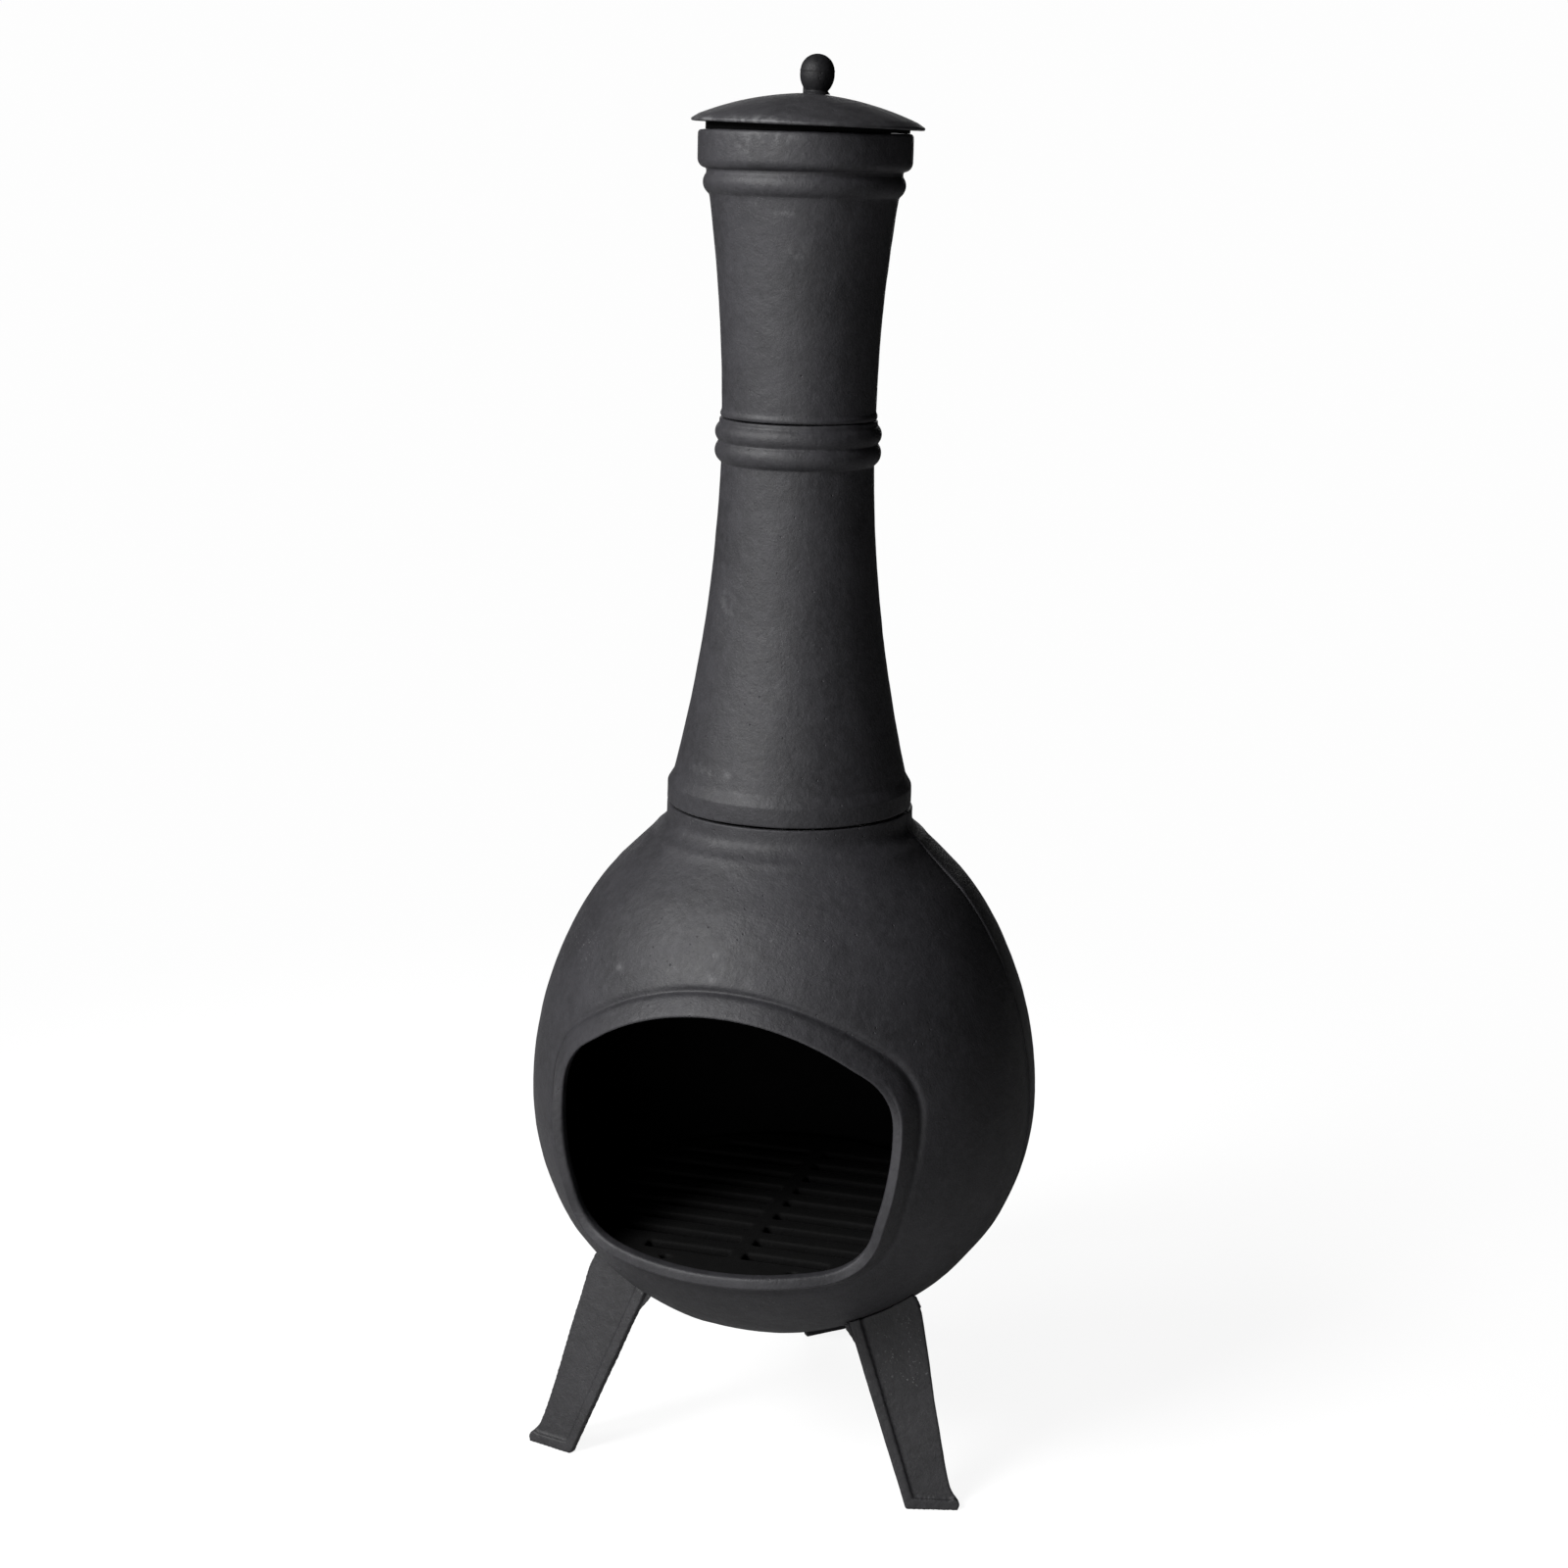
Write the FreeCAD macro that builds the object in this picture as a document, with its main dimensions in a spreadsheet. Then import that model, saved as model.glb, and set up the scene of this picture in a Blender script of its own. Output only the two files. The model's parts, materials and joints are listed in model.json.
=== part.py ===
import FreeCAD, Part
import math
import os

# A cast-iron chiminea: a pear-shaped fire bowl cast in two halves, a two-piece flue,
# a loose rain lid with a ball knob, a loose fire grate and three bolted legs.
# Millimetres. Z is the flue axis, z = 0 is the floor, and the mouth of the bowl faces -Y.

V = FreeCAD.Vector
doc = FreeCAD.newDocument("chiminea")
sheet = doc.addObject("Spreadsheet::Sheet", "dims")
NUM = {}

CELLS = [
    # general casting
    ("wall", 5.0), ("seam_gap", 0.3), ("rear_step", 1.2),
    # bowl, outer profile stations (radius, height) and the radius of the arc that ends there
    ("bowl_r_a", 132.1), ("bowl_z_a", 149.8), ("bowl_arc_a", 209.8), ("bowl_z_bottom", 103.0),
    ("bowl_r_b", 205.5), ("bowl_z_b", 303.0), ("bowl_arc_b", 196.6),
    ("bowl_r_c", 178.0), ("bowl_z_c", 426.5), ("bowl_arc_c", 291.1),
    ("bowl_r_d", 141.0), ("bowl_z_d", 485.0), ("bowl_arc_d", 230.0),
    ("bowl_r_e", 100.0), ("bowl_z_e", 525.4),
    ("neck_r", 97.4), ("neck_z_low", 531.8), ("neck_fillet", 9.0), ("neck_z_top", 541.5),
    # mouth: half outline seen from the front
    ("mouth_z_top", 416.5), ("mouth_x_shoulder", 105.0), ("mouth_z_shoulder", 381.0), ("mouth_arc_top", 173.0),
    ("mouth_x_side", 132.5), ("mouth_z_side", 340.0), ("mouth_arc_shoulder", 52.0),
    ("mouth_x_cheek", 121.5), ("mouth_z_cheek", 258.0), ("mouth_arc_side", 230.0),
    ("mouth_x_chin", 84.0), ("mouth_z_chin", 219.5), ("mouth_arc_chin", 46.0), ("mouth_arc_bottom", 640.0),
    ("surround_width", 15.5), ("surround_height", 9.0),
    # seam lugs of the bowl
    ("lug_reach", 22.0), ("lug_width", 26.0), ("lug_thick", 12.0),
    # grate
    ("grate_r", 158.0), ("grate_thick", 8.0), ("grate_z", 192.0), ("grate_slot", 13.0), ("grate_pitch", 29.0),
    ("grate_rim", 13.0), ("grate_rib", 12.0), ("grate_first", -118.0), ("grate_hole_r", 4.0), ("ledge_depth", 26.0), ("ledge_thick", 12.0),
    # lower flue
    ("base_r", 97.4), ("base_z", 543.3), ("base_z_top", 558.5), ("flare_r", 92.6), ("flare_z", 566.5),
    ("waist_r", 59.6), ("waist_z", 812.5), ("waist_arc", 1150.0),
    ("ring_r", 61.8), ("ring_z", 829.0), ("ring_arc_low", 10.5), ("ring_top_r", 61.4), ("ring_top_z", 843.0), ("ring_arc_high", 9.3),
    ("joint_z", 846.8), ("joint_gap", 0.8), ("joint_lug_z", 847.2),
    # upper flue
    ("bead_r", 60.2), ("bead_end_r", 59.8), ("bead_end_z", 852.8), ("bead_arc", 3.9),
    ("upper_r", 71.9), ("upper_z", 1013.5), ("upper_arc", 1250.0),
    ("hoop_low_r", 72.6), ("hoop_low_z", 1015.5), ("hoop_high_r", 74.7), ("hoop_high_z", 1031.0), ("hoop_arc", 10.3),
    ("collar_low_r", 75.0), ("collar_low_z", 1034.3), ("collar_r", 81.7), ("collar_mid_z", 1041.0), ("collar_edge", 2.4),
    ("collar_z", 1062.0), ("collar_bore", 66.0), ("collar_arc", 7.0),
    # lid and knob
    ("lid_r", 88.6), ("lid_under_z", 1067.2), ("lid_edge_z", 1069.6), ("lid_crease_r", 82.0), ("lid_crease_z", 1075.0),
    ("lid_top_z", 1091.0), ("lid_dome_arc", 215.0), ("lid_thick", 4.5), ("lid_seat_in", 68.0), ("lid_seat_out", 77.0),
    ("lid_spigot_in", 59.5), ("lid_spigot_out", 63.0), ("lid_spigot_z", 1052.0), ("lid_bore", 3.3),
    ("knob_neck_r", 8.0), ("knob_r", 12.9), ("knob_z", 1107.1), ("knob_bore", 3.0), ("knob_bore_depth", 15.0),
    # legs
    ("leg_web", 4.5), ("leg_rib", 2.5), ("leg_pad_thick", 10.0), ("leg_pad_wide", 24.0), ("leg_pad_reach", 52.0), ("leg_pad_tail", 16.5),
    ("leg_plane_y", 148.1), ("leg_turn_deg", 15.0), ("leg_lean_deg", 13.0), ("leg_clear", 0.2), ("rear_leg_inset", 2.2),
    # fasteners
    ("bolt_r", 3.95), ("bolt_hole_r", 4.5), ("tap_r", 4.0), ("bolt_af", 13.0), ("bolt_head", 5.3), ("nut_thick", 6.5),
    ("washer_r", 8.0), ("washer_thick", 1.6), ("washer_hole_r", 4.2),
    ("small_r", 2.95), ("small_hole_r", 3.4), ("small_tap_r", 3.0), ("small_af", 10.0), ("small_head", 4.0), ("small_nut", 5.0),
    ("small_washer_r", 6.0), ("small_washer_thick", 1.2), ("small_washer_hole_r", 3.2),
]
for row, (alias, value) in enumerate(CELLS, start=1):
    sheet.set("A%d" % row, alias)
    sheet.set("B%d" % row, "%.6g" % value)
    sheet.setAlias("B%d" % row, alias)
    NUM[alias] = float(value)
doc.recompute()


class Q:
    """A size that is both a number and the sheet expression that gives it."""

    def __init__(self, number, text=None):
        self.n = float(number)
        self.t = text if text is not None else "%.10g" % float(number)

    @staticmethod
    def of(x):
        return x if isinstance(x, Q) else Q(x)

    def __add__(self, o):
        o = Q.of(o)
        return Q(self.n + o.n, "(%s + %s)" % (self.t, o.t))

    def __radd__(self, o):
        return Q.of(o) + self

    def __sub__(self, o):
        o = Q.of(o)
        return Q(self.n - o.n, "(%s - %s)" % (self.t, o.t))

    def __rsub__(self, o):
        return Q.of(o) - self

    def __mul__(self, o):
        o = Q.of(o)
        return Q(self.n * o.n, "(%s * %s)" % (self.t, o.t))

    __rmul__ = __mul__

    def __truediv__(self, o):
        o = Q.of(o)
        return Q(self.n / o.n, "(%s / %s)" % (self.t, o.t))

    def __neg__(self):
        return Q(-self.n, "(0 - %s)" % self.t)


def c(alias):
    return Q(NUM[alias], "dims." + alias)


def bind(obj, prop, size):
    size = Q.of(size)
    setattr(obj, prop, size.n)
    if "dims." in size.t:
        obj.setExpression(prop, size.t)


def place(obj, x=0, y=0, z=0, axis=(0, 0, 1), angle=0, rot=None):
    r = rot if rot is not None else FreeCAD.Rotation(V(*axis), angle)
    obj.Placement = FreeCAD.Placement(V(Q.of(x).n, Q.of(y).n, Q.of(z).n), r)
    for name, size in (("x", x), ("y", y), ("z", z)):
        size = Q.of(size)
        if "dims." in size.t:
            obj.setExpression(".Placement.Base." + name, size.t)
    return obj


def outline(name, points, segments, body=None, rotation=None):
    """A closed sketch. points are (x, y) sizes; segment i joins point i to the next one, and is
    None for a line or (radius, side) for an arc, side +1 when its centre is to the left."""
    if body is None:
        sk = doc.addObject("Sketcher::SketchObject", name)
        sk.Placement = FreeCAD.Placement(V(0, 0, 0), rotation or FreeCAD.Rotation(V(1, 0, 0), 90))
    else:
        sk = body.newObject("Sketcher::SketchObject", name)
        plane = [f for f in body.Origin.OriginFeatures if f.Role == "XZ_Plane"][0]
        sk.AttachmentSupport = [(plane, "")]
        sk.MapMode = "FlatFace"
    n = len(points)
    pts = [(Q.of(x), Q.of(y)) for x, y in points]
    ends, geometry = [], []
    for i, seg in enumerate(segments):
        p = V(pts[i][0].n, pts[i][1].n, 0)
        q = V(pts[(i + 1) % n][0].n, pts[(i + 1) % n][1].n, 0)
        if seg is None:
            geometry.append(Part.LineSegment(p, q))
            ends.append((1, 2))
            continue
        radius, side = Q.of(seg[0]).n, seg[1]
        d = q - p
        half = d.Length / 2
        rise = math.sqrt(max(radius * radius - half * half, 0))
        left = V(-d.y, d.x, 0).normalize()
        centre = (p + q) * 0.5 + left * rise * side
        first, last = (p, q) if side > 0 else (q, p)
        a0 = math.atan2(first.y - centre.y, first.x - centre.x)
        a1 = math.atan2(last.y - centre.y, last.x - centre.x)
        while a1 <= a0:
            a1 += 2 * math.pi
        geometry.append(Part.ArcOfCircle(Part.Circle(centre, V(0, 0, 1), radius), a0, a1))
        ends.append((1, 2) if side > 0 else (2, 1))
    sk.addGeometry(geometry, False)
    constraints, names = [], []
    for i in range(n):
        j = (i + 1) % n
        constraints.append(Sketcher_Constraint("Coincident", i, ends[i][1], j, ends[j][0]))
        names.append(None)
    for i in range(n):
        for axis, size in (("X", pts[i][0]), ("Y", pts[i][1])):
            if abs(size.n) < 1e-9:
                constraints.append(Sketcher_Constraint("PointOnObject", i, ends[i][0], -2 if axis == "X" else -1))
                names.append(None)
            else:
                constraints.append(Sketcher_Constraint("Distance" + axis, -1, 1, i, ends[i][0], size.n))
                names.append(("p%s_%d" % (axis.lower(), i), size))
    for i, seg in enumerate(segments):
        if seg is not None:
            constraints.append(Sketcher_Constraint("Radius", i, Q.of(seg[0]).n))
            names.append(("arc_%d" % i, Q.of(seg[0])))
    sk.addConstraint(constraints)
    for k, entry in enumerate(names):
        if entry is not None:
            sk.renameConstraint(k, entry[0])
            if "dims." in entry[1].t:
                sk.setExpression("Constraints." + entry[0], entry[1].t)
    return sk


import Sketcher

Sketcher_Constraint = Sketcher.Constraint


def box(name, lx, ly, lz):
    b = doc.addObject("Part::Box", name)
    bind(b, "Length", lx)
    bind(b, "Width", ly)
    bind(b, "Height", lz)
    return b


def cylinder(name, r, h):
    b = doc.addObject("Part::Cylinder", name)
    bind(b, "Radius", r)
    bind(b, "Height", h)
    return b


def fuse(name, parts):
    f = doc.addObject("Part::MultiFuse", name)
    f.Shapes = parts
    return f


def cut(name, base, tool):
    f = doc.addObject("Part::Cut", name)
    f.Base, f.Tool = base, tool
    return f


def common(name, a, b):
    f = doc.addObject("Part::MultiCommon", name)
    f.Shapes = [a, b]
    return f


def revolve(name, sketch, angle=360.0, axis=(0, 0, 1)):
    f = doc.addObject("Part::Revolution", name)
    f.Source = sketch
    f.Axis, f.Base, f.Angle, f.Solid = V(*axis), V(0, 0, 0), angle, True
    return f


def extrude(name, sketch, length, direction=(0, -1, 0), back=0.0):
    f = doc.addObject("Part::Extrusion", name)
    f.Base = sketch
    f.DirMode = "Custom"
    f.Dir = V(*direction)
    bind(f, "LengthFwd", length)
    bind(f, "LengthRev", back)
    f.Solid = True
    return f


NODES = []


def node(name, obj):
    obj.Label = name
    NODES.append((name, obj))
    return obj


# ---------------------------------------------------------------- bowl profile
# Stations from the bottom pole up to the neck: radius, height, outward normal, and the arc to the next one.
def stations():
    w = 0.7071
    return [
        (Q(0), c("bowl_z_bottom"), (0.0, -1.0), (c("bowl_arc_a"), 1)),
        (c("bowl_r_a"), c("bowl_z_a"), (0.6296, -0.7769), (c("bowl_arc_b"), 1)),
        (c("bowl_r_b"), c("bowl_z_b"), (1.0, 0.0), (c("bowl_arc_c"), 1)),
        (c("bowl_r_c"), c("bowl_z_c"), (0.9055, 0.4243), (c("bowl_arc_d"), 1)),
        (c("bowl_r_d"), c("bowl_z_d"), (0.72, 0.694), None),
        (c("bowl_r_e"), c("bowl_z_e"), (w, w), (c("neck_fillet"), -1)),
        (c("neck_r"), c("neck_z_low"), (1.0, 0.0), None),
        (c("neck_r"), c("neck_z_top"), (1.0, 0.0), None),
    ]


def chain(offset, first, last, reverse=False):
    """Points and segments of the bowl's profile, offset outwards, from one station to another."""
    st = stations()
    pts, segs = [], []
    for i in range(first, last + 1):
        r, z, nrm, seg = st[i]
        x = r + offset * nrm[0] if nrm[0] else r
        y = z + offset * nrm[1] if nrm[1] and i < 7 else z
        pts.append((x, y))
        if i < last:
            segs.append(None if seg is None else (seg[0] + offset * seg[1], seg[1]))
    if reverse:
        pts = pts[::-1]
        segs = [None if s is None else (s[0], -s[1]) for s in segs[::-1]]
    return pts, segs


def shell_outline(name, out):
    po, so = chain(out, 0, 7)
    pi, si = chain(-c("wall"), 0, 7, reverse=True)
    return outline(name, po + pi, so + [None] + si + [None])


def solid_outline(name, offset, last):
    p, s = chain(offset, 0, last)
    return outline(name, p + [(Q(0), p[-1][1])], s + [None, None])


core = revolve("bowl_core", solid_outline("bowl_core_profile", -c("wall") * 0.5, 7))
under = revolve("bowl_under", solid_outline("bowl_under_profile", c("leg_clear"), 2))
under_rear = revolve("bowl_under_rear", solid_outline("bowl_under_rear_profile", c("leg_clear") + c("rear_step"), 2))


def wall_point(t):
    """Inner wall point and outward normal in the seam plane at angle t (degrees) on the lower or upper part of the bowl."""
    st = {"low": ((0.0, 312.8), 209.8), "mid": ((8.9, 303.0), 196.6), "high": ((-85.6, 303.0), 291.1)}[t[0]]
    a = math.radians(t[1])
    n = (math.cos(a), math.sin(a))
    r = st[1] - NUM["wall"]
    return (st[0][0] + r * n[0], st[0][1] + r * n[1]), n


LUG_SPOTS = [wall_point(("low", -52.0)), wall_point(("mid", 0.0)), wall_point(("high", 26.5))]


def oriented(normal):
    """Rotation that turns X to a normal in the XZ plane, keeping Y."""
    return FreeCAD.Rotation(V(0, 1, 0), -math.degrees(math.atan2(normal[1], normal[0])))


def seam_lugs(tag, side):
    """Cast lugs inside one half, against the seam plane; side is -1 in front and +1 behind."""
    made = []
    for k, (p, nrm) in enumerate(LUG_SPOTS):
        for hand in (1, -1):
            m = (nrm[0] * hand, nrm[1])
            rot = oriented(m)
            b = box("%s_lug_%d_%s" % (tag, k, "r" if hand > 0 else "l"), c("lug_reach") + 4, c("lug_thick"), c("lug_width"))
            base = V(p[0] * hand, 0, p[1]) + rot.multVec(V(-NUM["lug_reach"], -NUM["lug_thick"] if side < 0 else 0, -NUM["lug_width"] / 2))
            b.Placement = FreeCAD.Placement(base, rot)
            made.append(b)
    return made


def seam_points():
    """Where the seam bolts run, along Y."""
    for p, nrm in LUG_SPOTS:
        for hand in (1, -1):
            yield V((p[0] - nrm[0] * 11.5) * hand, 0, p[1] - nrm[1] * 11.5)


def radial_box(name, azimuth, r_in, r_out, width, z0, height):
    """A box on the ring at an azimuth, degrees from -Y towards +X."""
    b = box(name, width, r_out - r_in, height)
    a = math.radians(azimuth)
    rot = FreeCAD.Rotation(V(0, 0, 1), azimuth)
    corner = V(0, -Q.of(r_out).n, Q.of(z0).n) + V(-Q.of(width).n / 2, 0, 0)
    b.Placement = FreeCAD.Placement(rot.multVec(corner), rot)
    return b


NECK_AZ = (45.0, -45.0, 135.0, -135.0)
LEDGE_AZ = (38.0, -38.0, 142.0, -142.0)
NECK_BOLT_R = 80.0
NECK_LUG_IN = 69.0


def neck_lugs(tag, azimuths, z_low, height, r_out):
    return [radial_box("%s_neck_lug_%d" % (tag, k), a, NECK_LUG_IN, r_out, 26.0, z_low, height) for k, a in enumerate(azimuths)]


def ledges(tag, azimuths):
    return [radial_box("%s_ledge_%d" % (tag, k), a, 148.0, 172.0, c("ledge_depth"), c("grate_z") - c("ledge_thick"), c("ledge_thick")) for k, a in enumerate(azimuths)]


def at(azimuth, radius, z):
    a = math.radians(azimuth)
    return V(radius * math.sin(a), -radius * math.cos(a), z)


# Leg mounting pads: centre on the bowl's outer surface, its normal and the two tangents.
PAD_R = 121.0
PAD_Z = 312.8 - math.sqrt(209.8 ** 2 - PAD_R ** 2)
# Each leg: hand of its casting, turn about Z, and azimuth of its mounting shelf. The rear leg is the left-hand casting turned by 120 degrees.
LEGS = {"right": (1, 0.0), "left": (-1, 0.0), "rear": (-1, -120.0)}
PAD_AZ = {leg: hand * 68.0 + turn for leg, (hand, turn) in LEGS.items()}


def pad_frame(azimuth):
    a = math.radians(azimuth)
    s = PAD_R / 209.8
    k = math.sqrt(1 - s * s)
    out = V(s * math.sin(a), -s * math.cos(a), -k)
    side = V(math.cos(a), math.sin(a), 0)
    return at(azimuth, PAD_R, PAD_Z), out, side


def pad_bolts(azimuth):
    centre, out, side = pad_frame(azimuth)
    for k in (-1, 1):
        yield centre + side * (11.0 * k), out, centre, side


def drill(name, point, direction, radius, before, after):
    """A cutting cylinder along a direction, from before the point to after it."""
    d = cylinder(name, radius, before + after)
    rot = FreeCAD.Rotation(V(0, 0, 1), direction)
    d.Placement = FreeCAD.Placement(point - direction * before, rot)
    return d


def on_surface(point, out):
    """The spot on the bowl's outer surface on the line through point along out."""
    centre = V(0, 0, 312.8)
    rel = point - centre
    b = rel.dot(out)
    return point + out * (-b + math.sqrt(b * b - rel.dot(rel) + 209.8 ** 2))


# ---------------------------------------------------------------- mouth
def mouth_points(grow):
    """The mouth's outline, grown outwards by a size. Clockwise is not needed: it runs counter-clockwise from the lower left."""
    g = Q.of(grow)
    k = 0.7071
    chin = (c("mouth_x_chin") + g * 0.30, c("mouth_z_chin") - g * 0.95)
    cheek = (c("mouth_x_cheek") + g * 0.93, c("mouth_z_cheek") - g * 0.36)
    side = (c("mouth_x_side") + g * 0.99, c("mouth_z_side") + g * 0.12)
    shoulder = (c("mouth_x_shoulder") + g * 0.62, c("mouth_z_shoulder") + g * 0.78)
    left = lambda p: (-p[0], p[1])
    pts = [left(chin), chin, cheek, side, shoulder, left(shoulder), left(side), left(cheek)]
    segs = [(c("mouth_arc_bottom") + g, 1), (c("mouth_arc_chin") + g, 1), (c("mouth_arc_side") + g, 1), (c("mouth_arc_shoulder") + g, 1),
            (c("mouth_arc_top") + g, 1), (c("mouth_arc_shoulder") + g, 1), (c("mouth_arc_side") + g, 1), (c("mouth_arc_chin") + g, 1)]
    return pts, segs


mouth_hole = extrude("mouth_hole", outline("mouth_outline", *mouth_points(Q(0))), Q(260), back=Q(-100))
surround_block = extrude("surround_block", outline("surround_outline", *mouth_points(c("surround_width"))), Q(260), back=Q(-100))

po, so = chain(c("surround_height"), 1, 4)
pi, si = chain(Q(-2), 1, 4, reverse=True)
surround_band = revolve("surround_band", outline("surround_profile", po + pi, so + [None] + si + [None]), 180.0, (0, 0, -1))
surround = common("surround", surround_band, surround_block)

# ---------------------------------------------------------------- bowl halves
front_raw = revolve("front_raw", shell_outline("front_profile", Q(0)), 180.0, (0, 0, -1))
front_lugs = common("front_lugs", fuse("front_lug_blocks", seam_lugs("front", -1) + neck_lugs("front", NECK_AZ[:2], c("neck_z_top") - 14, Q(14), Q(96.0)) + ledges("front", LEDGE_AZ[:2])), core)
rear_raw = revolve("rear_raw", shell_outline("rear_profile", c("rear_step")), 180.0, (0, 0, 1))
rear_lugs = common("rear_lugs", fuse("rear_lug_blocks", seam_lugs("rear", 1) + neck_lugs("rear", NECK_AZ[2:], c("neck_z_top") - 14, Q(14), Q(96.0)) + ledges("rear", LEDGE_AZ[2:])), core)

seam_holes = []
for k, p in enumerate(seam_points()):
    seam_holes.append(drill("seam_hole_%d" % k, p, V(0, 1, 0), c("bolt_hole_r"), 30.0, 30.0))
neck_holes = []
for k, a in enumerate(NECK_AZ):
    neck_holes.append(drill("neck_hole_%d" % k, at(a, NECK_BOLT_R, NUM["neck_z_top"]), V(0, 0, 1), c("bolt_hole_r"), 25.0, 30.0))
leg_holes = {}
for leg, az in PAD_AZ.items():
    leg_holes[leg] = []
    for k, (p, out, centre, side) in enumerate(pad_bolts(az)):
        q = on_surface(p, out)
        leg_holes[leg].append(drill("leg_hole_%s_%d" % (leg, k), q, out, c("bolt_hole_r"), 12.0, 8.0))


def several(name, tools):
    f = doc.addObject("Part::Compound", name)
    f.Links = tools
    return f


front_body = fuse("front_body", [front_raw, surround, front_lugs])
front_tools = several("front_tools", seam_holes + neck_holes[:2] + leg_holes["right"] + leg_holes["left"])
front_open = cut("front_open", front_body, mouth_hole)
front = node("belly_front_shell", cut("front_half", front_open, front_tools))
front.Placement = FreeCAD.Placement(V(0, -NUM["seam_gap"], 0), FreeCAD.Rotation())
front.setExpression(".Placement.Base.y", "0 - dims.seam_gap")

rear_body = fuse("rear_body", [rear_raw, rear_lugs])
rear_tools = several("rear_tools", [drill("rear_seam_hole_%d" % k, p, V(0, 1, 0), c("bolt_hole_r"), 30.0, 30.0) for k, p in enumerate(seam_points())]
                     + neck_holes[2:] + leg_holes["rear"])
rear = node("belly_rear_shell", cut("rear_half", rear_body, rear_tools))


# ---------------------------------------------------------------- fasteners
def hex_bolt(name, point, direction, length, small=False):
    """Head above the point, shank along minus direction. direction points from the shank to the head."""
    pre = "small_" if small else "bolt_"
    head = doc.addObject("Part::Prism", name + "_head")
    head.Polygon = 6
    bind(head, "Circumradius", c(pre + "af") / 1.7320508)
    bind(head, "Height", c(pre + "head"))
    shank = cylinder(name + "_shank", c(pre + "r"), Q.of(length) + 1)
    shank.Placement = FreeCAD.Placement(V(0, 0, -Q.of(length).n), FreeCAD.Rotation())
    b = fuse(name, [head, shank])
    b.Placement = FreeCAD.Placement(point, FreeCAD.Rotation(V(0, 0, 1), direction))
    return b


def hex_nut(name, point, direction, small=False):
    """A nut that stands from the point along direction."""
    pre = "small_" if small else "bolt_"
    body = doc.addObject("Part::Prism", name + "_body")
    body.Polygon = 6
    bind(body, "Circumradius", c(pre + "af") / 1.7320508)
    bind(body, "Height", c("small_nut") if small else c("nut_thick"))
    hole = cylinder(name + "_hole", c("small_tap_r") if small else c("tap_r"), Q(20))
    hole.Placement = FreeCAD.Placement(V(0, 0, -5), FreeCAD.Rotation())
    b = cut(name, body, hole)
    b.Placement = FreeCAD.Placement(point, FreeCAD.Rotation(V(0, 0, 1), direction))
    return b


def washer(name, point, direction, small=False):
    pre = "small_" if small else ""
    body = cylinder(name + "_disc", c(pre + "washer_r"), c(pre + "washer_thick"))
    hole = cylinder(name + "_hole", c(pre + "washer_hole_r"), Q(10))
    hole.Placement = FreeCAD.Placement(V(0, 0, -4), FreeCAD.Rotation())
    b = cut(name, body, hole)
    b.Placement = FreeCAD.Placement(point, FreeCAD.Rotation(V(0, 0, 1), direction))
    return b


Y, Z = V(0, 1, 0), V(0, 0, 1)
wt = NUM["washer_thick"]
bolts, nuts, washers = [], [], []
for k, p in enumerate(seam_points()):
    # head behind the rear lug, washer and nut in front, where a hand through the mouth reaches
    t = NUM["lug_thick"]
    bolts.append(hex_bolt("seam_bolt_%d" % k, p + Y * t, Y, Q(2 * t + 10.5)))
    washers.append(washer("seam_washer_%d" % k, p - Y * (t + NUM["seam_gap"]), -Y))
    nuts.append(hex_nut("seam_nut_%d" % k, p - Y * (t + NUM["seam_gap"] + wt), -Y))
node("shell_bolts", several("shell_bolt_set", bolts))
node("shell_washers", several("shell_washer_set", washers))
node("shell_nuts", several("shell_nut_set", nuts))

# ---------------------------------------------------------------- fire grate
g_body = cylinder("grate_disc", c("grate_r"), c("grate_thick"))
place(g_body, z=c("grate_z"))
slots = []
k = 0
y = NUM["grate_first"]
while y < 125:
    reach = math.sqrt((NUM["grate_r"] - NUM["grate_rim"]) ** 2 - (abs(y) + NUM["grate_slot"] / 2) ** 2)
    for hand in (1, -1):
        b = box("grate_slot_%d_%s" % (k, "r" if hand > 0 else "l"), Q(reach) - c("grate_rib") * 0.5, c("grate_slot"), c("grate_thick") + 4)
        yc = c("grate_first") + c("grate_pitch") * k - c("grate_slot") * 0.5
        place(b, x=(c("grate_rib") * 0.5 if hand > 0 else Q(-reach)), y=yc, z=c("grate_z") - 2)
        slots.append(b)
    k += 1
    y = NUM["grate_first"] + NUM["grate_pitch"] * k
for k, (x, yy) in enumerate(((-52.0, -139.5), (52.0, -139.5))):
    h = cylinder("grate_hole_%d" % k, c("grate_hole_r"), c("grate_thick") + 4)
    place(h, x=Q(x), y=Q(yy), z=c("grate_z") - 2)
    slots.append(h)
node("fire_grate", cut("grate", g_body, several("grate_slots", slots)))

# ---------------------------------------------------------------- lower flue
w5 = c("wall")
lower_pts = [
    (c("base_r"), c("base_z")), (c("base_r"), c("base_z_top")), (c("flare_r"), c("flare_z")), (c("waist_r"), c("waist_z")),
    (c("ring_r"), c("ring_z")), (c("ring_top_r"), c("ring_top_z")), (c("ring_top_r"), c("joint_z")),
    (c("waist_r") - w5, c("joint_z")), (c("waist_r") - w5, c("waist_z")), (c("flare_r") - w5, c("flare_z")),
    (c("base_r") - w5 - 1.5, c("base_z_top") - 1), (c("base_r") - w5 - 1.5, c("base_z")),
]
lower_segs = [None, None, (c("waist_arc"), -1), (c("ring_arc_low"), 1), (c("ring_arc_high"), 1), None, None, None,
              (c("waist_arc") + w5, 1), None, None, None]
lower_raw = revolve("flue_lower_raw", outline("flue_lower_profile", lower_pts, lower_segs))
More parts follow.
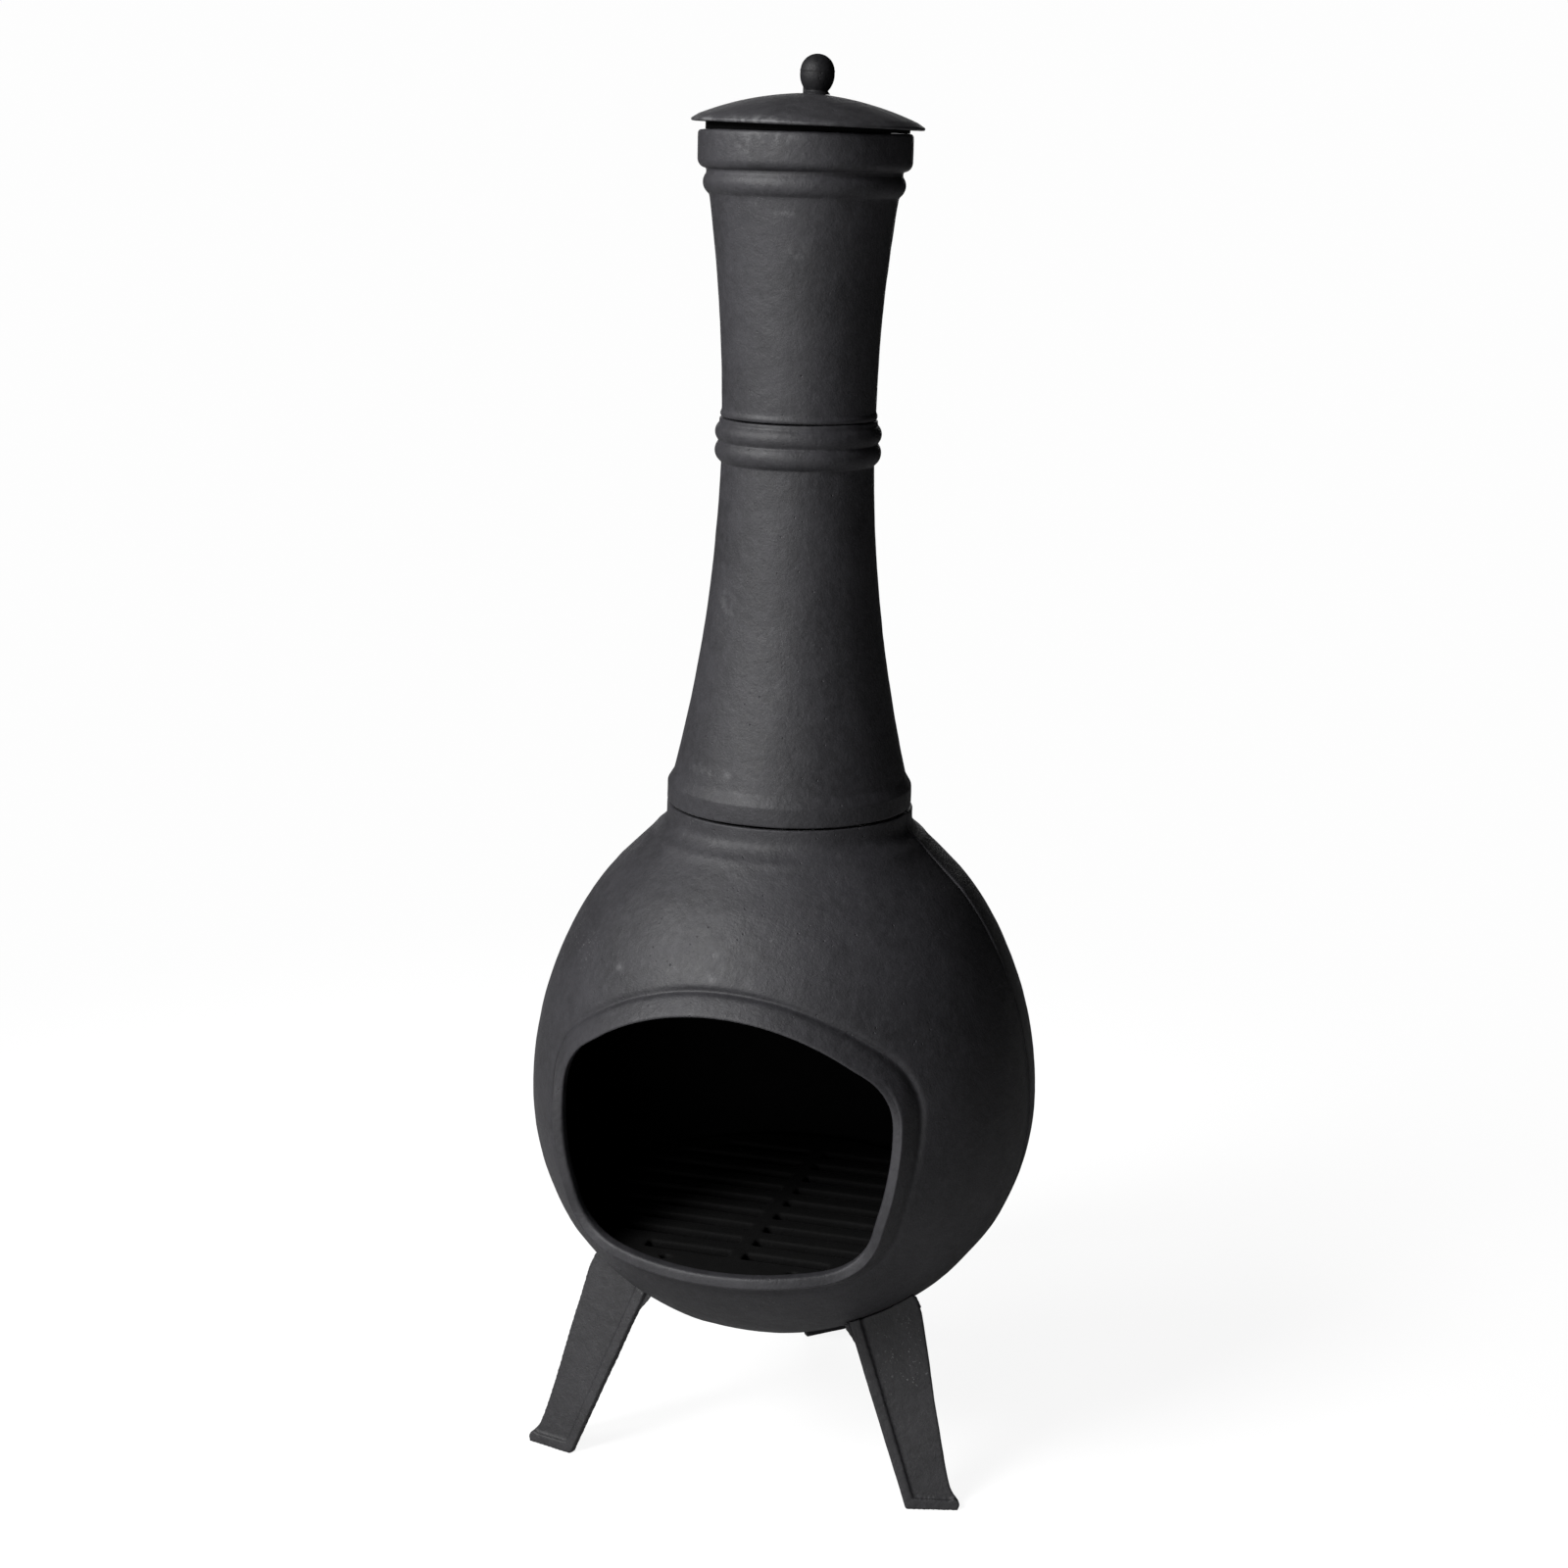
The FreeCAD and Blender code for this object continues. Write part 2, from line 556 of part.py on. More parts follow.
base_lugs = neck_lugs("base", NECK_AZ, c("neck_z_top"), Q(13.5), Q(93.5))
JOINT_AZ = (0.0, 120.0, 240.0)
JOINT_R = 45.5


def joint_lugs(tag, z_low, height, r_out):
    return [radial_box("%s_joint_lug_%d" % (tag, k), a, 38.0, r_out, 18.0, z_low, height) for k, a in enumerate(JOINT_AZ)]


lower_body = fuse("flue_lower_body", [lower_raw] + base_lugs + joint_lugs("lower", c("joint_lug_z") - 11, Q(11), Q(57.0)))
lower_tools = several("flue_lower_tools", [drill("base_hole_%d" % k, at(a, NECK_BOLT_R, NUM["neck_z_top"]), Z, c("bolt_hole_r"), 25.0, 30.0) for k, a in enumerate(NECK_AZ)]
                      + [drill("lower_joint_hole_%d" % k, at(a, JOINT_R, NUM["joint_lug_z"]), Z, c("small_hole_r"), 20.0, 20.0) for k, a in enumerate(JOINT_AZ)])
node("flue_lower", cut("flue_lower_cut", lower_body, lower_tools))

bolts, nuts, washers = [], [], []
for k, a in enumerate(NECK_AZ):
    p = at(a, NECK_BOLT_R, NUM["neck_z_top"])
    washers.append(washer("base_washer_%d" % k, p + Z * 13.5, Z))
    bolts.append(hex_bolt("base_bolt_%d" % k, p + Z * (13.5 + wt), Z, Q(13.5 + wt + 14 + 10)))
    nuts.append(hex_nut("base_nut_%d" % k, p - Z * 14, -Z))
node("flue_base_bolts", several("base_bolt_set", bolts))
node("flue_base_washers", several("base_washer_set", washers))
node("flue_base_nuts", several("base_nut_set", nuts))

# ---------------------------------------------------------------- upper flue
jz = c("joint_z") + c("joint_gap")
upper_pts = [
    (c("bead_r"), jz), (c("bead_end_r"), c("bead_end_z")), (c("upper_r"), c("upper_z")), (c("hoop_low_r"), c("hoop_low_z")),
    (c("hoop_high_r"), c("hoop_high_z")), (c("collar_low_r"), c("collar_low_z")), (c("collar_r"), c("collar_mid_z")),
    (c("collar_r"), c("collar_z") - c("collar_edge")), (c("collar_r") - c("collar_edge"), c("collar_z")),
    (c("collar_bore"), c("collar_z")), (c("collar_bore"), c("upper_z")), (c("bead_end_r") - w5, c("bead_end_z")), (c("bead_end_r") - w5, jz),
]
upper_segs = [(c("bead_arc"), 1), (c("upper_arc"), -1), None, (c("hoop_arc"), 1), None, (c("collar_arc"), 1), None, (c("collar_edge") + 0.3, 1),
              None, None, (c("upper_arc") + w5, 1), None, None]
upper_raw = revolve("flue_upper_raw", outline("flue_upper_profile", upper_pts, upper_segs))
upper_body = fuse("flue_upper_body", [upper_raw] + joint_lugs("upper", c("joint_lug_z"), Q(11), Q(57.0)))
upper_tools = several("flue_upper_tools", [drill("upper_joint_hole_%d" % k, at(a, JOINT_R, NUM["joint_lug_z"]), Z, c("small_hole_r"), 20.0, 20.0) for k, a in enumerate(JOINT_AZ)])
node("flue_upper", cut("flue_upper_cut", upper_body, upper_tools))

bolts, nuts, washers = [], [], []
swt = NUM["small_washer_thick"]
for k, a in enumerate(JOINT_AZ):
    p = at(a, JOINT_R, NUM["joint_lug_z"])
    washers.append(washer("joint_washer_%d" % k, p + Z * 11, Z, small=True))
    bolts.append(hex_bolt("joint_bolt_%d" % k, p + Z * (11 + swt), Z, Q(11 + swt + 11 + 7.5), small=True))
    nuts.append(hex_nut("joint_nut_%d" % k, p - Z * 11, -Z, small=True))
node("flue_joint_bolts", several("joint_bolt_set", bolts))
node("flue_joint_washers", several("joint_washer_set", washers))
node("flue_joint_nuts", several("joint_nut_set", nuts))

# ---------------------------------------------------------------- rain lid
lid = doc.addObject("PartDesign::Body", "lid_body")
under_z = c("lid_under_z")
lid_pts = [
    (c("lid_bore"), c("lid_top_z")), (c("lid_bore"), c("lid_top_z") - c("lid_thick") - 1.5), (c("lid_spigot_in"), under_z + 3.2),
    (c("lid_spigot_in"), c("lid_spigot_z")), (c("lid_spigot_out"), c("lid_spigot_z")), (c("lid_spigot_out"), under_z),
    (c("lid_seat_in"), under_z), (c("lid_seat_in"), c("collar_z")), (c("lid_seat_out"), c("collar_z")), (c("lid_seat_out"), under_z),
    (c("lid_r") - 0.8, under_z), (c("lid_r"), c("lid_edge_z")), (c("lid_crease_r"), c("lid_crease_z")),
]
lid_segs = [None, (c("lid_dome_arc"), -1), None, None, None, None, None, None, None, None, (Q(1.6), 1), None, (c("lid_dome_arc"), 1)]
lid_sk = outline("lid_profile", lid_pts, lid_segs, body=lid)
lid_rev = lid.newObject("PartDesign::Revolution", "lid_turned")
lid_rev.Profile = lid_sk
lid_rev.ReferenceAxis = (lid_sk, ["V_Axis"])
lid_rev.Angle = 360.0
node("rain_lid", lid)

# knob: a slightly pear-shaped ball on a short neck, with a blind tapped hole
knob = doc.addObject("PartDesign::Body", "knob_body")
kz = c("lid_top_z")
knob_pts = [
    (c("knob_bore"), kz), (c("knob_neck_r"), kz), (c("knob_neck_r"), kz + 1.6), (c("knob_r"), c("knob_z")), (Q(0), c("knob_z") + c("knob_r")),
    (Q(0), kz + c("knob_bore_depth")), (c("knob_bore"), kz + c("knob_bore_depth")),
]
knob_segs = [None, None, (Q(18.0), 1), (c("knob_r"), 1), None, None, None]
knob_sk = outline("knob_profile", knob_pts, knob_segs, body=knob)
knob_rev = knob.newObject("PartDesign::Revolution", "knob_turned")
knob_rev.Profile = knob_sk
knob_rev.ReferenceAxis = (knob_sk, ["V_Axis"])
knob_rev.Angle = 360.0
node("lid_knob", knob)

lid_in = NUM["lid_top_z"] - NUM["lid_thick"] - 1.5 - 0.45
node("lid_knob_washer", washer("knob_washer", V(0, 0, lid_in - swt), Z, small=True))
node("lid_knob_screw", hex_bolt("knob_screw", V(0, 0, lid_in - swt), -Z, Q(swt + 6.45 + 12.0), small=True))


# ---------------------------------------------------------------- legs
# Outlines in the leg's own face: across the leg, up the leg. The face is turned about Z and leans, foot forward.
# A front leg is a thin web with a raised rib down its inner edge that turns along the foot, and a shelf behind the web.
LEG_WEB = [(89.4, 172.0), (98.7, 144.3), (147.4, 0.0), (150.1, -8.0), (187.2, -8.0), (189.4, 1.4), (190.5, 4.6), (189.2, 8.0), (185.8, 12.0), (182.8, 17.0), (180.4, 25.0),
           (177.9, 35.4), (174.4, 52.9), (168.4, 85.8), (162.4, 121.3), (156.2, 155.0), (152.2, 166.5), (147.2, 172.0)]
LEG_RIB = [(89.4, 172.0), (98.7, 144.3), (147.4, 0.0), (150.1, -8.0), (187.2, -8.0), (189.4, 1.4), (190.5, 4.6), (189.2, 8.0), (186.0, 9.9), (182.2, 8.4),
           (153.0, 8.6), (107.8, 147.0), (99.6, 172.0)]


def make_leg(tag, hand, turn, azimuth, seat):
    """A leg of one hand, turned about Z, with its mounting shelf at an azimuth and its top fitted to a seat."""
    rot = FreeCAD.Rotation(V(0, 0, 1), turn + hand * NUM["leg_turn_deg"]) * FreeCAD.Rotation(V(1, 0, 0), -NUM["leg_lean_deg"])
    base = FreeCAD.Rotation(V(0, 0, 1), turn).multVec(V(0, -NUM["leg_plane_y"], 0))
    if seat is under_rear:
        base.y -= NUM["rear_leg_inset"]
    flat = lambda name, pts: outline(name, [(Q(x * hand), Q(z)) for x, z in pts], [None] * len(pts))
    web = extrude(tag + "_web", flat(tag + "_web_outline", LEG_WEB), c("leg_web"), direction=(0, 1, 0))
    web.Placement = FreeCAD.Placement(V(0, NUM["leg_rib"], 0), FreeCAD.Rotation())
    web.setExpression(".Placement.Base.y", "dims.leg_rib")
    rib = extrude(tag + "_rib", flat(tag + "_rib_outline", LEG_RIB), c("leg_web") + c("leg_rib"), direction=(0, 1, 0))
    blade = fuse(tag + "_blade", [web, rib])
    blade.Placement = FreeCAD.Placement(base, rot)
    # mounting shelf, running back from the web under the bowl
    centre, out, side = pad_frame(azimuth)
    up = out.cross(side)
    shelf = box(tag + "_shelf", c("leg_pad_reach") + c("leg_pad_tail"), c("leg_pad_wide"), c("leg_pad_thick") + 9)
    start = NUM["leg_pad_reach"] if hand > 0 else NUM["leg_pad_tail"]
    shelf.Placement = FreeCAD.Placement(centre - out * 9 - side * start - up * (NUM["leg_pad_wide"] / 2), FreeCAD.Rotation(side, up, out, "ZXY"))
    behind = box(tag + "_behind", Q(800), Q(400), Q(800))
    behind.Placement = FreeCAD.Placement(base + rot.multVec(V(-400, NUM["leg_rib"] + 1.5, -400)), rot)
    body = fuse(tag + "_body", [blade, common(tag + "_shelf_trimmed", shelf, behind)])
    floor = box(tag + "_floor", Q(800), Q(800), Q(40))
    floor.Placement = FreeCAD.Placement(V(-400, -400, -40), FreeCAD.Rotation())
    holes = []
    for k, (p, o, cc, s) in enumerate(pad_bolts(azimuth)):
        holes.append(drill("%s_tap_%d" % (tag, k), on_surface(p, o), o, c("tap_r"), 6.0, 9.3))
    first = cut(tag + "_fitted", body, seat)
    return cut(tag + "_finished", first, several(tag + "_tools", [floor] + holes))


for name, leg, seat in (("leg_front_right", "right", under), ("leg_front_left", "left", under), ("leg_rear", "rear", under_rear)):
    node(name, make_leg("leg_" + leg, LEGS[leg][0], LEGS[leg][1], PAD_AZ[leg], seat))

bolts, washers = [], []
for leg, az in PAD_AZ.items():
    for k, (p, out, centre, side) in enumerate(pad_bolts(az)):
        q = on_surface(p, out)
        seat = q - out * (NUM["wall"] + 0.75)
        washers.append(washer("leg_washer_%s_%d" % (leg, k), seat, -out))
        bolts.append(hex_bolt("leg_bolt_%s_%d" % (leg, k), seat - out * wt, -out, Q(wt + 0.75 + NUM["wall"] + 8.4)))
node("leg_bolts", several("leg_bolt_set", bolts))
node("leg_washers", several("leg_washer_set", washers))

doc.recompute()

# ---------------------------------------------------------------- checks and export
bad = [o.Name for o in doc.Objects if any(s in ("Invalid", "Error") for s in o.State)]
if bad:
    raise RuntimeError("objects that failed: %s" % bad)
os.makedirs("parts", exist_ok=True)
for name, obj in NODES:
    shape = obj.Shape
    if shape.isNull() or not shape.isValid() or not shape.Solids:
        raise RuntimeError("%s has no valid solid" % name)
for name, obj in NODES:
    shape = obj.Shape
    shape.exportStep("parts/%s.step" % name)
    b = shape.BoundBox
    print("%-20s solids %d  volume %10.0f  x %7.1f..%7.1f  y %7.1f..%7.1f  z %7.1f..%7.1f" % (
        name, len(shape.Solids), shape.Volume, b.XMin, b.XMax, b.YMin, b.YMax, b.ZMin, b.ZMax))
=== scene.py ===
import json
import math

import bpy
import numpy as np
from mathutils import Matrix, Vector

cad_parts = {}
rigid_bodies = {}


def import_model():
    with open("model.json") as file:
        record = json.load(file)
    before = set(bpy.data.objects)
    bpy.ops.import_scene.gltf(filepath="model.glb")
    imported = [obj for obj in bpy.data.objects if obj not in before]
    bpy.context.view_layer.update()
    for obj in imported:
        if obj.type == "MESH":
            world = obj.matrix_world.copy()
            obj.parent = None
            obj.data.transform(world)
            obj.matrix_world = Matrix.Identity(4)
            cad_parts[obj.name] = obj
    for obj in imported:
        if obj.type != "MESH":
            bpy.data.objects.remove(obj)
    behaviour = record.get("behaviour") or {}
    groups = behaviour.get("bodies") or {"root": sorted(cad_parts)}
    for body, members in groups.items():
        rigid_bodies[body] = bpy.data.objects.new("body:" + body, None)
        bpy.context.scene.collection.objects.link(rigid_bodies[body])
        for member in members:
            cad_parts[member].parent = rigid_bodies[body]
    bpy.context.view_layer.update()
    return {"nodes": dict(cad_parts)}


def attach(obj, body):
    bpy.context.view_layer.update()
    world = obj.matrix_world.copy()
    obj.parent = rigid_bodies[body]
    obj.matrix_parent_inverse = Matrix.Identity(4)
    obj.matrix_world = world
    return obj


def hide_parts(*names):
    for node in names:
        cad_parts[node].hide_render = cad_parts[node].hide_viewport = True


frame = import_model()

MM = 0.001

# ------------------------------------------------------------------ noise
def _hash(ix, iy, iz, seed):
    h = (ix.astype(np.int64) * 374761393 + iy.astype(np.int64) * 668265263 + iz.astype(np.int64) * 2147483647 + seed * 1274126177) & 0xFFFFFFFF
    h = ((h ^ (h >> 13)) * 1274126177) & 0xFFFFFFFF
    h = (h ^ (h >> 16)) & 0xFFFFFFFF
    return h.astype(np.float64) / 4294967295.0 * 2 - 1


def value_noise(p, size, seed=0):
    """Smooth value noise in -1..1 at points p (mm), with cells of the given size."""
    q = p / size
    i = np.floor(q).astype(np.int64)
    f = q - i
    f = f * f * f * (f * (f * 6 - 15) + 10)
    out = np.zeros(len(p))
    for dx in (0, 1):
        wx = f[:, 0] if dx else 1 - f[:, 0]
        for dy in (0, 1):
            wy = f[:, 1] if dy else 1 - f[:, 1]
            for dz in (0, 1):
                wz = f[:, 2] if dz else 1 - f[:, 2]
                out += wx * wy * wz * _hash(i[:, 0] + dx, i[:, 1] + dy, i[:, 2] + dz, seed)
    return out


def casting(p, seed=0, low=0.30, mid=0.10, fine=0.035):
    """How far a sand casting's skin wanders from its nominal surface, in mm."""
    return (low * value_noise(p, 46.0, seed) + low * 0.5 * value_noise(p, 21.0, seed + 1)
            + mid * value_noise(p, 8.5, seed + 2) + fine * value_noise(p, 3.1, seed + 3))


# ------------------------------------------------------------------ mesh helpers
def smooth1(a, sigma, step, closed=True):
    """Gaussian smoothing of a polyline's columns, with the sample spacing given."""
    n = max(1, int(3 * sigma / step))
    k = np.exp(-0.5 * (np.arange(-n, n + 1) * step / sigma) ** 2)
    k /= k.sum()
    out = np.empty_like(a)
    for c in range(a.shape[1]):
        col = a[:, c]
        pad = np.concatenate([col[-n:], col, col[:n]]) if closed else np.concatenate([2 * col[0] - col[n:0:-1], col, 2 * col[-1] - col[-2:-n - 2:-1]])
        out[:, c] = np.convolve(pad, k, mode="valid")
    return out


def resample(p, step, closed=False):
    if closed:
        p = np.vstack([p, p[:1]])
    d = np.r_[0, np.cumsum(np.linalg.norm(np.diff(p, axis=0), axis=1))]
    n = max(4, int(round(d[-1] / step)))
    s = np.linspace(0, d[-1], n + 1)
    q = np.column_stack([np.interp(s, d, p[:, c]) for c in range(p.shape[1])])
    return q[:-1] if closed else q


def arc_points(p, q, radius, side, n=24):
    p, q = np.array(p, float), np.array(q, float)
    d = q - p
    half = np.linalg.norm(d) / 2
    rise = math.sqrt(max(radius * radius - half * half, 0))
    left = np.array([-d[1], d[0]]) / (2 * half)
    c = (p + q) / 2 + left * rise * side
    a0, a1 = math.atan2(*(p - c)[::-1]), math.atan2(*(q - c)[::-1])
    if side > 0 and a1 < a0:
        a1 += 2 * math.pi
    if side < 0 and a1 > a0:
        a1 -= 2 * math.pi
    a = np.linspace(a0, a1, n)
    return np.column_stack([c[0] + radius * np.cos(a), c[1] + radius * np.sin(a)])


def path(points, segments, closed=True):
    """Polyline through points; a segment is None for a line or (radius, side) for an arc."""
    out = []
    n = len(points)
    for i, seg in enumerate(segments):
        p, q = points[i], points[(i + 1) % n]
        if seg is None:
            out.append(np.array([p, q], float))
        else:
            out.append(arc_points(p, q, seg[0], seg[1]))
    pts = np.vstack(out)
    keep = np.r_[True, np.linalg.norm(np.diff(pts, axis=0), axis=1) > 1e-6]
    return pts[keep]


def make_object(name, verts_mm, faces, smooth=True, merge=None):
    me = bpy.data.meshes.new(name)
    me.from_pydata([tuple(v) for v in np.asarray(verts_mm) * MM], [], [tuple(int(i) for i in f) for f in faces])
    me.validate()
    ob = bpy.data.objects.new(name, me)
    bpy.context.scene.collection.objects.link(ob)
    if merge:
        import bmesh
        bm = bmesh.new()
        bm.from_mesh(me)
        bmesh.ops.remove_doubles(bm, verts=bm.verts, dist=merge * MM)
        bmesh.ops.dissolve_degenerate(bm, dist=1e-7, edges=bm.edges)
        bmesh.ops.recalc_face_normals(bm, faces=bm.faces)
        bm.to_mesh(me)
        bm.free()
    if smooth:
        me.polygons.foreach_set("use_smooth", [True] * len(me.polygons))
    me.update()
    return ob


def grid_faces(nu, nv, wrap_u=True, wrap_v=True, offset=0):
    iu = np.arange(nu if wrap_u else nu - 1)
    iv = np.arange(nv if wrap_v else nv - 1)
    a, b = np.meshgrid(iu, iv, indexing="ij")
    a, b = a.ravel(), b.ravel()
    a1, b1 = (a + 1) % nu, (b + 1) % nv
    return np.column_stack([a * nv + b, a1 * nv + b, a1 * nv + b1, a * nv + b1]) + offset


def turned(name, profile, count=240, seed=0, low=0.25, mid=0.08, fine=0.03, merge=None, squash=0.0):
    """A closed body of revolution from a closed (r, z) profile, with casting skin."""
    prof = np.asarray(profile, float)
    nv = len(prof)
    a = np.linspace(0, 2 * math.pi, count, endpoint=False)
    ca, sa = np.cos(a)[:, None], np.sin(a)[:, None]
    P = np.stack([prof[None, :, 0] * ca, prof[None, :, 0] * sa, np.repeat(prof[None, :, 1], count, 0)], axis=-1).reshape(-1, 3)
    t = np.roll(prof, -1, 0) - np.roll(prof, 1, 0)
    nrm = np.column_stack([t[:, 1], -t[:, 0]])
    nrm /= np.maximum(np.linalg.norm(nrm, axis=1, keepdims=True), 1e-9)
    area = 0.5 * np.sum(prof[:, 0] * np.roll(prof[:, 1], -1) - np.roll(prof[:, 0], -1) * prof[:, 1])
    if area < 0:
        nrm = -nrm
    N = np.stack([nrm[None, :, 0] * ca, nrm[None, :, 0] * sa, np.repeat(nrm[None, :, 1], count, 0)], axis=-1).reshape(-1, 3)
    on_axis = P[:, 0] ** 2 + P[:, 1] ** 2 < 1e-6
    d = casting(P, seed, low, mid, fine)
    d[on_axis] = 0
    P = P + N * d[:, None]
    return make_object(name, P, grid_faces(count, nv), merge=merge)


def rounded_profile(points, segments, sigma=0.8, step=0.35, keep_every=None, target=1.2):
    """The closed profile with every corner softened, thinned where it is straight."""
    p = resample(path(points, segments), step, closed=True)
    q = smooth1(p, sigma, step)
    q[:, 0] = np.maximum(q[:, 0], 0)
    # thin: keep a point when the turn or the distance since the last kept one is large enough
    keep = [0]
    for i in range(1, len(q)):
        a, b = q[keep[-1]], q[i]
        c = q[(i + 1) % len(q)]
        d1, d2 = b - a, c - b
        L = np.linalg.norm(d1)
        turn = abs(math.atan2(d1[0] * d2[1] - d1[1] * d2[0], d1 @ d2))
        if L > target * 3.0 or (turn > 0.10 and L > 0.3) or (turn > 0.03 and L > target):
            keep.append(i)
    return q[keep]


# ------------------------------------------------------------------ bowl profile (mm), the same arcs as the design
BOWL = [((0, 103.0), (209.8, 1)), ((132.1, 149.8), (196.6, 1)), ((205.5, 303.0), (291.1, 1)), ((178.0, 426.5), (230.0, 1)),
        ((141.0, 485.0), None), ((100.0, 525.4), (9.0, -1)), ((97.4, 531.8), None), ((97.4, 541.5), None)]


def bowl_profile(grow=0.0):
    pts = [b[0] for b in BOWL]
    segs = [b[1] for b in BOWL[:-1]]
    p = path(pts, segs, closed=False)
    p = resample(p, 0.8)
    q = smooth1(p, 2.2, 0.8, closed=False)
    q[0] = p[0]
    q[-1] = p[-1]
    q[:, 0] = np.maximum(q[:, 0], 0)
    q[1:40, 1] = p[1:40, 1]
    q[1:40, 0] = p[1:40, 0]
    return q


PROF = bowl_profile()
T = np.r_[0, np.cumsum(np.linalg.norm(np.diff(PROF, axis=0), axis=1))]
TL = T[-1]
_t = np.gradient(PROF, axis=0)
PN = np.column_stack([_t[:, 1], -_t[:, 0]])
PN /= np.linalg.norm(PN, axis=1, keepdims=True)
PN = smooth1(PN, 3.0, 0.8, closed=False)
PN[0] = (0, -1)
PN[-12:] = (1, 0)
PN /= np.linalg.norm(PN, axis=1, keepdims=True)


# the bowl's skin swells a little round the foot of the neck
_sw = 0.65 * np.exp(-((PROF[:, 1] - 517.0) / 3.2) ** 2)
PROF = PROF + PN * _sw[:, None]


def at_t(t):
    return (np.interp(t, T, PROF[:, 0]), np.interp(t, T, PROF[:, 1]), np.interp(t, T, PN[:, 0]), np.interp(t, T, PN[:, 1]))


# radius of the surface offset by o at height z, and the arc length there
OFFS = np.linspace(-8, 12, 41)
ZS = np.linspace(110, 520, 821)
RTAB = np.empty((len(OFFS), len(ZS)))
for _i, _o in enumerate(OFFS):
    pr = PROF + PN * _o
    m = slice(4, len(pr) - 30)
    RTAB[_i] = np.interp(ZS, pr[m, 1], pr[m, 0])


def radius_at(o, z):
    fo = np.clip((o - OFFS[0]) / (OFFS[1] - OFFS[0]), 0, len(OFFS) - 1.001)
    fz = np.clip((z - ZS[0]) / (ZS[1] - ZS[0]), 0, len(ZS) - 1.001)
    io, iz = fo.astype(int), fz.astype(int)
    a, b = fo - io, fz - iz
    return (RTAB[io, iz] * (1 - a) * (1 - b) + RTAB[io + 1, iz] * a * (1 - b) + RTAB[io, iz + 1] * (1 - a) * b + RTAB[io + 1, iz + 1] * a * b)


def mouth_outline(grow=0.0):
    g = grow
    chin, cheek, side, shoulder = ((84.0 + g * 0.30, 219.5 - g * 0.95), (121.5 + g * 0.93, 258.0 - g * 0.36), (132.5 + g * 0.99, 340.0 + g * 0.12), (105.0 + g * 0.62, 381.0 + g * 0.78))
    left = lambda p: (-p[0], p[1])
    pts = [left(chin), chin, cheek, side, shoulder, left(shoulder), left(side), left(cheek)]
    segs = [(640.0 + g, 1), (46.0 + g, 1), (230.0 + g, 1), (52.0 + g, 1), (173.0 + g, 1), (52.0 + g, 1), (230.0 + g, 1), (46.0 + g, 1)]
    return path(pts, segs)


def box_shell(size, centre, rot, bevel=1.6, seg=3):
    """Vertices and faces of a bevelled box, for the cast lugs."""
    import bmesh
    bm = bmesh.new()
    bmesh.ops.create_cube(bm, size=1.0)
    bmesh.ops.scale(bm, vec=Vector(size), verts=bm.verts)
    bmesh.ops.bevel(bm, geom=bm.edges[:], offset=bevel, segments=seg, affect="EDGES", profile=0.5)
    M = Matrix.Translation(Vector(centre)) @ rot.to_4x4()
    bmesh.ops.transform(bm, matrix=M, verts=bm.verts)
    bm.verts.index_update()
    v = np.array([tuple(x.co) for x in bm.verts])
    f = [[x.index for x in face.verts] for face in bm.faces]
    bm.free()
    return v, f


def seam_lug_boxes(side):
    spots = []
    for (cx, cz), R, ang in (((0.0, 312.8), 209.8, -52.0), ((8.9, 303.0), 196.6, 0.0), ((-85.6, 303.0), 291.1, 26.5)):
        a = math.radians(ang)
        n = (math.cos(a), math.sin(a))
        r = R - 5.0
        spots.append(((cx + r * n[0], cz + r * n[1]), n))
    out = []
    for (px, pz), n in spots:
        for hand in (1, -1):
            m = (n[0] * hand, n[1])
            rot = Matrix.Rotation(-math.atan2(m[1], m[0]), 3, "Y")
            mid = Vector((px * hand, 0, pz)) + rot @ Vector((-9.5, -6.0 if side < 0 else 6.0, 0))
            out.append(box_shell((25.0, 11.8, 26.0), mid, rot))
    return out


def ring_boxes(azimuths, r_in, r_out, width, z0, height, bevel=1.2):
    out = []
    for az in azimuths:
        rot = Matrix.Rotation(math.radians(az), 3, "Z")
        mid = rot @ Vector((0, -(r_in + r_out) / 2, z0 + height / 2))
        out.append(box_shell((width, r_out - r_in, height), mid, rot, bevel=bevel))
    return out


def join_shells(verts, faces, extra):
    V, F = [np.asarray(verts)], [list(map(tuple, faces))]
    n = len(V[0])
    for v, f in extra:
        V.append(v)
        F.append([tuple(i + n for i in face) for face in f])
        n += len(v)
    return np.vstack(V), [f for g in F for f in g]


# ------------------------------------------------------------------ front half with the mouth's raised surround
# The surround is a sloped band that climbs from a fine groove in the bowl's skin to a crisp edge, and a narrow face, square to the
# front, between that edge and the opening. The band: distance outside the opening's edge (front view), height above the bowl's skin.
BAND = [(24.5, 0.0), (22.0, -0.04), (20.8, -0.22), (19.7, -0.62), (18.6, -1.20), (17.5, -1.85), (16.6, -2.30), (15.8, -2.35), (15.2, -1.55), (14.7, -0.60), (14.2, 0.35),
        (13.4, 1.65), (12.4, 3.10), (11.3, 4.70), (10.3, 6.10), (9.5, 7.25), (8.9, 8.05), (8.4, 8.55), (7.9, 8.80)]
FACE = [(7.2, 0.03), (6.2, 0.16), (4.6, 0.40), (3.0, 0.66), (1.9, 0.92), (1.1, 1.28), (0.5, 1.85), (0.14, 2.6)]  # distance, how far back from the edge
